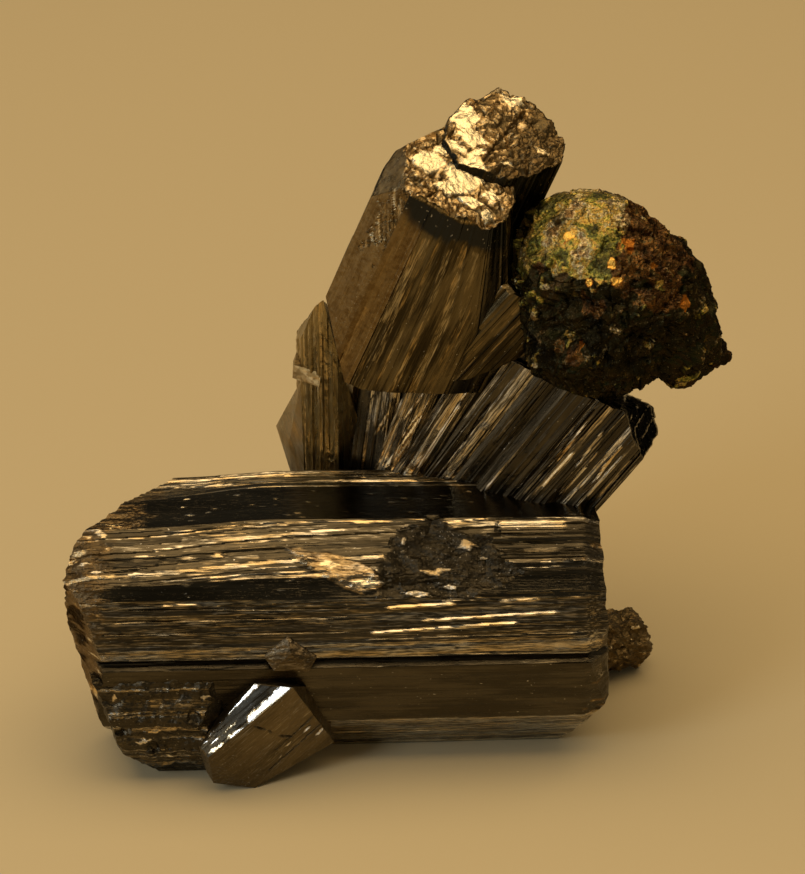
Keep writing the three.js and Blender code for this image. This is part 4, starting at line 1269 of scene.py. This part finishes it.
def tall_lobe(outline, top, bevels, seed, spacing, rows):
    rng = np.random.default_rng(seed)
    base = striated(outline, LOBE_STYLES, rng, TALL_REACH)
    length = lengths_of(outline)[0]
    oblique = strips(rng, (-20, 25), TALL_REACH[0], OBLIQUE)
    corners = np.array(outline)
    centre = corners.mean(0)
    reach = np.linalg.norm(corners - centre, axis=1).mean()
    front = top == FRONT_LOBE_TOP
    sheet_at = 3.0 if front else 8.0
    end_at = between(tall_axes, (0, 0, 0), corners, [(top, TALL_TOP_NORMAL)], TALL_REACH)[1]

    def relief(side, share, around, t):
        p = sheet(around, t)
        height, shine, rough, _, _ = base(side, share, around, t)
        height += layered_noise(p * np.array([1, 0.2, 1]), 2.0, 2, seed) * 0.05
        if front:
            ragged = 2.4 * (layered_noise(p, 0.5, 3, seed + 21) - 0.5)
            on = (side == 0) & (t + ragged > OBLIQUE_FROM[0]) & (t + ragged < OBLIQUE_FROM[1])
            on &= share + 0.2 * ragged > 0.25
            height[on], shine[on], _ = oblique((share * length)[on], t[on])
            # painted shade on the front lobe's right sides
            shine = np.where(side > 3, shine - 0.35, shine)
        else:
            # painted shade on the rear lobe's front sides, in the recess behind the front lobe
            shine = np.where(side < 5, 0.5 * shine - 0.45, shine)
        brown = ((side == 0) | (side == 1)) * (0.5 if front else 0.0)
        shade_band = np.zeros(t.shape)
        if front:
            # painted shade: a dark band below the end, with a lighter rim along the end itself
            below = blend(end_at[side], end_at[(side + 1) % len(corners)], share) - t
            wobble = layered_noise(p * np.array([1, 0.4, 1]), 1.2, 3, seed + 20)
            shade_band = ease(below - 0.7 * wobble, *SHADE_BELOW_END) * ((side > 0) & (side < 5))
            shine = blend(shine, -0.7, shade_band)
            rim = ease(np.abs(below), 0.14, 0.05) * (side < 5)
            shine = np.where(rim > 0, np.maximum(shine, 0.5 * rim), shine)
        return height, shine, rough * (1 - 0.35 * shade_band), 0.0, brown * (1 - shade_band)

    def shift(side, share, t):
        flare = np.array([FLARE.get(n % len(corners), 0.0) for n in range(len(corners) + 1)])
        moved = blend(flare[side], flare[side + 1], share)
        start, full = FLARE_STATIONS
        moved = moved * np.clip((t - start) / (full - start), 0, 1)
        return np.stack([moved, np.zeros_like(moved)], -1)

    def on_top(place):
        just_top = between(tall_axes, (0, 0, 0), place, [(top, TALL_TOP_NORMAL)], TALL_REACH)[1]
        every = between(tall_axes, (0, 0, 0), place, [(top, TALL_TOP_NORMAL), *bevels],
                        TALL_REACH)[1]
        return 1 - ease(just_top - every, 0.02, 0.12)

    def rough(place, end):
        if not end:
            return np.zeros(place.shape[:-1])
        off = np.linalg.norm(place - centre, axis=-1) / reach
        relief, _, _ = hackly(place, sheet_at, seed)
        return 0.72 * relief * on_top(place) - 0.18 * ease(off, 0.75, 1.05)

    def end_marks(place, end):
        if not end:
            return 0.2, 0.3, 0.2, 0.0
        gold = on_top(place)
        _, plate, valley_shade = hackly(place, sheet_at, seed)
        middle, lean = DARKER_BEYOND
        dim = 0.0 if front else ease(
            place[..., 0] - middle - lean * (place[..., 1] - 10.0), -0.1, 0.3)
        fresh = np.maximum(0.2 + 0.8 * plate, 0.6 * (1 - gold))
        # painted shade: the gold thins out in the valleys and the crease
        return (fresh, 0.32 - 0.10 * plate, 0.5 * gold * (1 - plate),
                np.maximum(gold * (1 - 0.5 * dim) * (1 - 0.85 * valley_shade), 0.62 * (1 - gold)))

    return crystal(outline, tall_axes, (0, 0, 0), [(top, TALL_TOP_NORMAL), *bevels, *TALL_SEATS],
                   TALL_REACH, spacing, rows, relief, rough, rings=TALL_RINGS, end_marks=end_marks,
                   shift=shift if front else None, seed=seed)


APRON_STYLE = Style(9, 0.06, 0.07, 0.4, 3.5, 0.45, 0.3)
APRON_SPACING, APRON_ROWS = 0.09, 76


def apron():
    axes = axes_of(APRON_AXIS, (1, 0, 0))
    base = striated(APRON_SECTION, {"all": APRON_STYLE}, 29, APRON_REACH)
    return crystal(APRON_SECTION, axes, APRON_ORIGIN, [APRON_BEVEL, *TALL_SEATS], APRON_REACH,
                   APRON_SPACING, APRON_ROWS, base, rings=8, seed=6)


tall_shells = [
    tall_lobe(FRONT_LOBE, FRONT_LOBE_TOP, FRONT_LOBE_BEVELS, 23, FRONT_LOBE_SPACING,
              FRONT_LOBE_ROWS),
    tall_lobe(REAR_LOBE, REAR_LOBE_TOP, [], 37, REAR_LOBE_SPACING, REAR_LOBE_ROWS),
    apron(),
]
piece("terminated_prism_dressed", tall_shells, OLIVE, "terminated_prism")

# ------------------------------------------------------------------ striated prism

FAN_GLOSS = [0.7, 0.9, 1.0, 0.8, 0.3, 0.3, 0.5, 0.6, 0.4]
# Ridges on the fan's front, by their ends: to the right along its foot line, and up.
FAN_LINES = [
    (5.0, 6.5, 1.4, 0.3, 0.29, 0.11, 1.62), (4.5, 6.1, 2.3, 2.4, 0.18, 0.07, 1.08),
    (5.9, 5.4, 3.6, 0.9, 0.29, 0.11, 1.62), (6.8, 7.0, 5.9, 5.7, 0.18, 0.08, 1.22),
    (1.9, 4.8, 0.5, 2.2, 0.15, 0.08, 1.35), (2.4, 5.0, 0.9, 2.5, 0.13, 0.06, 1.08),
    (12.1, 7.5, 8.1, 0.8, 0.33, 0.12, 1.22), (10.5, 7.9, 10.0, 7.2, 0.22, 0.1, 1.49),
    (11.6, 3.5, 10.1, 1.3, 0.24, 0.1, 1.49), (13.3, 4.3, 11.6, 1.7, 0.26, 0.1, 1.62),
    (14.7, 4.5, 12.5, 1.1, 0.22, 0.1, 1.35), (16.0, 5.1, 13.9, 1.3, 0.2, 0.09, 1.22),
    (1.0, 5.9, 0.0, 3.9, 0.12, -0.08, 0.0), (9.6, 6.4, 6.2, 0.8, 0.18, 0.05, 0.47),
    (1.4, 5.6, 0.3, 2.8, 0.95, 0.05, 0.4), (3.9, 6.2, 2.4, 3.6, 0.14, 0.08, 1.2),
    (3.0, 2.6, 1.9, 0.8, 0.14, 0.08, 1.1), (15.0, 6.0, 13.4, 3.2, 0.14, 0.08, 1.3),
    (13.9, 6.2, 12.4, 3.6, 0.12, 0.07, 1.2), (15.6, 3.6, 14.6, 1.9, 0.14, 0.08, 1.2),
    (7.8, 6.0, 5.0, 0.6, 0.18, -0.1, 0.0), (5.4, 6.3, 2.1, 0.5, 0.16, -0.1, 0.0),
    (14.4, 7.5, 11.4, 2.2, 0.2, -0.1, 0.0),
]
FAN_FRONT_FROM = (0.6, 0.55)      # the front side of a lath's section, as shares of its half width
FAN_REACH = (-20, 12)
FAN_SPACING = [0.065, 0.058, 0.065, 0.25, 0.14, 0.14, 0.3]
FAN_ROWS = 90
FAN_STYLE = Style(16, 0.12, 0.06, 0.5, 4.5, 1.0, 0.27)
FAN_FINER = (6, 0.34)             # from this lath on the widest strips are narrower
FAN_FLANK = Style(9, 0.1, 0.15, 0.6, 6, 0.6, 0.3)


# painted shade on the laths' end faces, under the lump and at the floor
def painted_shade_end(place, end):
    return -0.6, 0.4, 0.1, 0.0


def fan():
    rng = np.random.default_rng(31)
    front = unit(FAN_FRONT)
    level = unit((-front[1], front[0], 0))
    upward = np.cross(front, level)
    shells = []
    for n, (distance, lean, width, rise, depth) in enumerate(FAN_LATHS):
        angle = math.radians(lean)
        along = level * math.sin(angle) + upward * math.cos(angle)
        side_way = level * math.cos(angle) - upward * math.sin(angle)
        axes = axes_of(along, side_way)
        origin = np.array(FAN_FOOT) + level * distance
        half = width * math.cos(angle) / 2 + 0.15
        before, after = FAN_FRONT_FROM
        section = [
            (-half, 0.35 - rise), (-half * before, -rise), (half * after, -rise),
            (half, 0.5 - rise), (half, depth - 0.4), (half * 0.5, depth), (-half, depth - 0.25)]
        style = FAN_STYLE._replace(gloss=FAN_GLOSS[n])
        if n >= FAN_FINER[0]:
            style = style._replace(wide=FAN_FINER[1])
        base = striated(section, {"all": style, 3: FAN_FLANK, 6: FAN_FLANK}, rng, FAN_REACH)

        def relief(side, share, around, t, base=base, n=n, half=half, angle=angle,
                   distance=distance):
            p = sheet(around, t * 0.3, n * 9.0)
            height, shine, rough, _, _ = base(side, share, around, t)
            place = half * (share * (before + after) - before)
            to_right = distance + place * math.cos(angle) + t * math.sin(angle)
            up = t * math.cos(angle) - place * math.sin(angle)
            wobble = layered_noise(sheet(to_right, up), 1.2, 3, 79)
            lines, fresh = ridge_lines(to_right + 0.07 * wobble, up, FAN_LINES)
            on = side == 1
            height = height + layered_noise(p, 1.2, 2, 77) * 0.05 + lines * on
            shine = np.where(fresh * on > 0, np.maximum(shine, fresh * on), shine - 0.07)
            return height, shine, rough, 0.25 * ease(wobble, 0.1, 0.5), 0.0

        def rough(place, end, n=n):
            p = raised(place, 9.0 * n)
            return layered_noise(p, 0.7, 3, 78) * 0.2 * end

        shells.append(crystal(
            section, axes, origin, [FAN_TOP, FAN_CREST, FAN_END, GROUND], FAN_REACH, FAN_SPACING,
            FAN_ROWS, relief, rough, rings=6, end_marks=painted_shade_end, seed=40 + n))
    return shells


piece("striated_prism_dressed", fan(), DARK, "striated_prism")

# ------------------------------------------------------------------ upright blade

BLADE_RANGE = (5, 28)
BLADE_SPACING, BLADE_ROWS = 0.07, 100
BLADE_STYLES = {
    "all": Style(11, 0.09, 0.07, 0.3, 3.5, 0.7, 0.3), 3: Style(4, 0.03, 0.1, 0.4, 6, 0.15, 0.3),
    4: Style(3, 0.02, 0.2, 0.6, 8, 0.0, 0.25),
}


def blade():
    axes = axes_of((0, 0, 1), (1, 0, 0))
    base = striated(BLADE_SECTION, BLADE_STYLES, 5, BLADE_RANGE)

    def relief(side, share, around, t):
        p = sheet(around, t)
        height, shine, rough, _, _ = base(side, share, around, t)
        height = height + 0.06 * crumpled_layers(p, 0.5, 81)
        return height, shine, rough, 0.2, 0.0

    def rough(place, end):
        p = raised(place, 5.0)
        return layered_noise(p, 0.6, 4, 82) * 0.15 * end

    return crystal(BLADE_SECTION, axes, (0, 0, 0), BLADE_ENDS, BLADE_RANGE, BLADE_SPACING,
                   BLADE_ROWS, relief, rough, rings=12, seed=7)


wedge_relief, wedge_axes = small_relief((-0.3, 0, 1), 0.05, 0.3, 85, (0.8, 0.5, 0.0, 0.35))
plate_relief, plate_axes = small_relief((1, -0.3, 0), 0.04, 0.2, 86, (-0.05, 0.4, 0.1, 0.6))
piece("upright_blade_dressed", [
    blade(),
    faceted(BLADE_WEDGE, 0.12, wedge_relief, wedge_axes, seed=8),
    faceted(BLADE_PLATE, 0.10, plate_relief, plate_axes, seed=9),
], BROWN, "upright_blade")

# ------------------------------------------------------------------ chalcopyrite


def ball_grid(count):
    """Points and quads of a cube blown up to a ball, count squares along each edge."""
    line = np.tan(np.linspace(-math.pi / 4, math.pi / 4, count + 1))
    a, b = np.meshgrid(line, line, indexing="ij")
    one = np.ones_like(a)
    faces = [(one, a, b), (-one, b, a), (b, one, a), (a, -one, b), (a, b, one), (b, a, -one)]
    points = np.concatenate([np.stack(f, -1).reshape(-1, 3) for f in faces])
    points /= np.linalg.norm(points, axis=1, keepdims=True)
    index = np.arange((count + 1) ** 2).reshape(count + 1, count + 1)
    quad = np.stack([index[:-1, :-1], index[1:, :-1], index[1:, 1:], index[:-1, 1:]],
                    -1).reshape(-1, 4)
    quads = np.concatenate([quad + n * (count + 1) ** 2 for n in range(6)])
    key = np.round(points, 6)
    _, first, kept = np.unique(key, axis=0, return_index=True, return_inverse=True)
    return points[first], kept.ravel()[quads]


# Places on the lump, by the way from its centre and the angle round it: where its tarnish is
# bright, on the side painted as lit, where it is rusty, its golden and its orange spots, its
# hollows with their depth, and the small ledges, given painted highlights. The bright, painted-lit
# tarnish stays on one side of the planes under TARNISH_WITHIN, given by their normal and their
# distance from the centre as a share of its radius.
PAINTED_LIT_TARNISH = [
    ((-0.56, -0.28, 0.78), 0.46), ((-0.72, -0.43, 0.55), 0.28), ((-0.18, -0.41, 0.89), 0.28),
    ((-0.29, -0.70, 0.65), 0.26), ((-0.30, 0.10, 0.95), 0.30),
]
TARNISH_WITHIN = [((0.0, 0.53, 0.85), -0.01), ((-1.0, 0.2, 0.3), 0.03)]
RUST = [((0.17, -0.41, 0.90), 0.42), ((0.20, -0.62, 0.75), 0.26), ((0.3, 0.5, 0.8), 0.4),
        ((-0.42, -0.86, -0.26), 0.05), ((-0.56, -0.80, -0.20), 0.05)]
GOLD_SPOTS = [((-0.06, -0.72, 0.70), 0.021), ((-0.02, -0.84, 0.54), 0.021),
              ((-0.47, -0.38, 0.80), 0.022), ((-0.30, -0.80, 0.52), 0.018)]
ORANGE_SPOTS = [((0.12, -0.54, 0.83), 0.030), ((0.72, -0.66, 0.22), 0.026),
                ((0.38, -0.66, 0.65), 0.014), ((-0.38, -0.91, -0.17), 0.012)]
HOLLOWS = [((-0.83, 0.12, 0.53), 0.10, 0.5), ((0.40, -0.90, -0.20), 0.22, 0.35),
           ((-0.50, -0.86, 0.08), 0.20, 0.25), ((0.62, -0.50, 0.60), 0.12, 0.25)]
LEDGE_HIGHLIGHTS = [((-0.02, -0.99, 0.06), 0.022), ((0.34, -0.92, -0.16), 0.026),
          ((0.42, -0.70, 0.42), 0.022), ((0.84, -0.44, 0.02), 0.018),
          ((0.20, -0.92, 0.20), 0.014), ((-0.45, -0.87, -0.08), 0.030),
          ((-0.80, -0.52, 0.12), 0.05), ((0.40, -0.90, -0.24), 0.016)]
LUMP_RISE = ((-0.12, 0.05, 1.0), 0.5, 0.5)        # one more bulge, at the top
LUMP_GRID = 116
GRAZING = -0.05                   # ways that dip further than this end on the plane it sits on


def shards(p, size, seed):
    """Splintered rock: each cell is folded its own way, from about -0.5 to 0.5."""
    _, _, pick, other = cells(p, size, seed)
    turn, lie = pick * math.tau, other * 2 - 1
    flat = np.sqrt(1 - lie * lie)
    toward = np.stack([np.cos(turn) * flat, np.sin(turn) * flat, lie], -1)
    fold = (p * toward).sum(-1) / size + 7 * pick
    return np.abs(fold % 1 - 0.5) * 1.4 - 0.35 + 0.3 * (other - 0.5)


def spots(way, places, wobble):
    """How much each way lies within any of the round places."""
    most = np.zeros(len(way))
    for toward, radius in places:
        off = np.arccos(np.clip(way @ unit(toward), -1, 1)) + wobble * radius
        most = np.maximum(most, ease(off, radius * 1.2, radius * 0.8))
    return most


def lump():
    numbers = repeatable(41)
    bulges = [(unit(d), h, s) for d, h, s in [*LUMP_BULGES, LUMP_RISE]]
    for _ in range(LUMP_KNOBS):
        toward = [next(numbers) - 0.5 for _ in range(3)]
        height = 0.45 * (next(numbers) - 0.55)
        bulges.append((unit(toward), height, 0.22 + 0.14 * next(numbers)))
    way, quads = ball_grid(LUMP_GRID)
    reach = np.full(len(way), LUMP_RADIUS)
    for toward, height, spread in bulges:
        off = np.arccos(np.clip(way @ toward, -1, 1))
        reach += height * np.exp(-(off / spread) ** 2)
    skin = way * reach[:, None]
    uneven = layered_noise(skin, 1.5, 4, 98) - 0.5
    # painted light: the lit side gets the bright tarnish
    painted_lit = spots(way, PAINTED_LIT_TARNISH, 2.0 * uneven)
    for facing, least in TARNISH_WITHIN:
        painted_lit = painted_lit * ease(way @ unit(facing) + 0.25 * uneven, least - 0.03, least + 0.06)
    rust = spots(way, RUST, 1.6 * uneven)
    warp = skin + 0.5 * (layered_noise(skin, 1.3, 2, 97)[:, None] - 0.5) * np.array([1, -1, 1])
    detail = 0.42 * shards(warp, 1.9, 91) + 0.26 * shards(warp, 0.9, 92)
    detail += 0.10 * shards(warp, 0.42, 93)
    detail *= 1 - 0.35 * painted_lit
    detail += 0.22 * (layered_noise(skin, 0.9, 4, 95, True) - 0.5)
    for toward, radius, deep in HOLLOWS:
        detail -= deep * spots(way, [(toward, radius)], uneven)
    ragged = 3.0 * (layered_noise(skin, 0.35, 3, 99) - 0.5)
    # painted highlights on the ledges
    ledge_highlight = spots(way, LEDGE_HIGHLIGHTS, ragged)
    reach += detail - 0.10 + 0.12 * ledge_highlight
    point, normal = FAN_TOP
    n = unit(normal)
    seat = (np.array(point) - np.array(LUMP_CENTRE)) @ n - 0.1
    facing = way @ n
    limit = np.where(facing < GRAZING, seat / np.minimum(facing, GRAZING), FAR)
    reach = np.minimum(reach, limit)
    points = np.array(LUMP_CENTRE) + way * reach[:, None]
    fresh = np.maximum(spots(way, GOLD_SPOTS, ragged), 0.5 * spots(way, ORANGE_SPOTS, ragged))
    # painted light in gilt: the lit side, the ridge tops and the ledges; painted shade in broken,
    # where the relief is deepest
    return Shell(points, quads, np.zeros((0, 3), int), skin, shine=fresh, rough=rust,
                 broken=0.8 * ease(detail, -0.22, -0.60),
                 gilt=np.clip(painted_lit + 0.4 * ease(detail, 0.1, 0.35) + 0.45 * ledge_highlight, 0, 1))


LUMP_GRAINS = [                   # centre, radius and whether it is black
    ((16.3, 3.4, 22.0), 0.95, False), ((16.9, 3.8, 22.8), 0.75, False),
    ((15.8, 3.6, 21.2), 0.7, False), ((17.4, 4.2, 22.0), 0.6, False),
    ((18.25, 4.6, 22.65), 0.5, True),
]
lump_shells = [lump()]
for n, (centre, radius) in enumerate(LUMP_CRUMBS):
    lump_shells.append(boulder(centre, radius, 0.9, 0.4, 100 + n, (0.0, 0.4, 0.3, 0.0)))
for n, (centre, radius, black) in enumerate(LUMP_GRAINS):
    lump_shells.append(boulder(
        centre, radius, 1.0, 0.3 if black else 0.5, 110 + n,
        (0.0, 0.0, 1.0, 0.0) if black else (0.0, 0.4, 0.0, 0.55)))
piece("chalcopyrite_dressed", lump_shells, BRASS, "chalcopyrite")

# ------------------------------------------------------------------ camera, floor and light

TARGET = np.array([0, 0, 19.26]) + OFFSET
ELEVATION = math.radians(32)
DISTANCE = 209.0
LENS, SENSOR, CLIP_START = 150, 36, 0.01
FLOOR_HALF = 0.9
FLOOR_COLOUR, FLOOR_ROUGHNESS = (0.60, 0.505, 0.315, 1), 0.7
SKY = (0.115, 0.10, 0.072, 1)
LAMPS = {                         # size, place and aim in metres, power, colour
    "key": ((0.45, 0.30), (0.0, 0.02, 0.32), (0, 0, 0.015), 0.95, (1.0, 0.72, 0.38)),
    "window": ((0.09, 0.09), (-0.201, -0.15, 0.172), (-0.008, -0.007, 0.006), 0.15,
               (0.88, 0.95, 1.0)),
    "rear_window": ((0.05, 0.05), (-0.30, 0.22, 0.03), (0, 0, 0.015), 0.03, (0.85, 0.93, 1.0)),
    "right_card": ((0.26, 0.20), (0.30, 0.05, 0.20), (0, 0, 0.015), 0.045, (1.0, 0.74, 0.42)),
    "left_card": ((0.24, 0.13), (-0.32, -0.07, 0.07), (0, 0, 0.015), 0.085, (1.0, 0.86, 0.66)),
}


def placed(name, data, place, towards):
    """An object that looks along `towards`."""
    made = bpy.data.objects.new(name, data)
    made.location = place
    made.rotation_mode = "QUATERNION"
    made.rotation_quaternion = Vector(towards).to_track_quat("-Z", "Y")
    bpy.context.scene.collection.objects.link(made)
    return made


back = np.array([0, -math.cos(ELEVATION), math.sin(ELEVATION)])
camera_data = bpy.data.cameras.new("camera")
camera_data.lens = LENS
camera_data.sensor_width = SENSOR
camera_data.clip_start = CLIP_START
camera = placed("camera", camera_data, (TARGET + back * DISTANCE) * MM, -back)
bpy.context.scene.camera = camera

floor_mesh = bpy.data.meshes.new("floor")
floor_mesh.from_pydata([
    (x * FLOOR_HALF, y * FLOOR_HALF, 0) for x, y in ((-1, -1), (1, -1), (1, 1), (-1, 1))
], [], [(0, 1, 2, 3)])
floor_paint, _, floor_shader = material("floor")
floor_shader.inputs["Base Color"].default_value = FLOOR_COLOUR
floor_shader.inputs["Roughness"].default_value = FLOOR_ROUGHNESS
floor_mesh.materials.append(floor_paint)
floor = bpy.data.objects.new("floor", floor_mesh)
bpy.context.scene.collection.objects.link(floor)

for lamp_name, (size, place, aim, power, colour) in LAMPS.items():
    lamp = bpy.data.lights.new(lamp_name, "AREA")
    lamp.shape = "RECTANGLE"
    lamp.size, lamp.size_y = size
    lamp.energy = power
    lamp.color = colour
    placed(lamp_name, lamp, place, Vector(aim) - Vector(place))

world = bpy.data.worlds.new("world")
world.use_nodes = True
sky = world.node_tree.nodes["Background"]
sky.inputs["Color"].default_value = SKY
sky.inputs["Strength"].default_value = 1.0
bpy.context.scene.world = world
bpy.context.scene.view_settings.view_transform = "Standard"
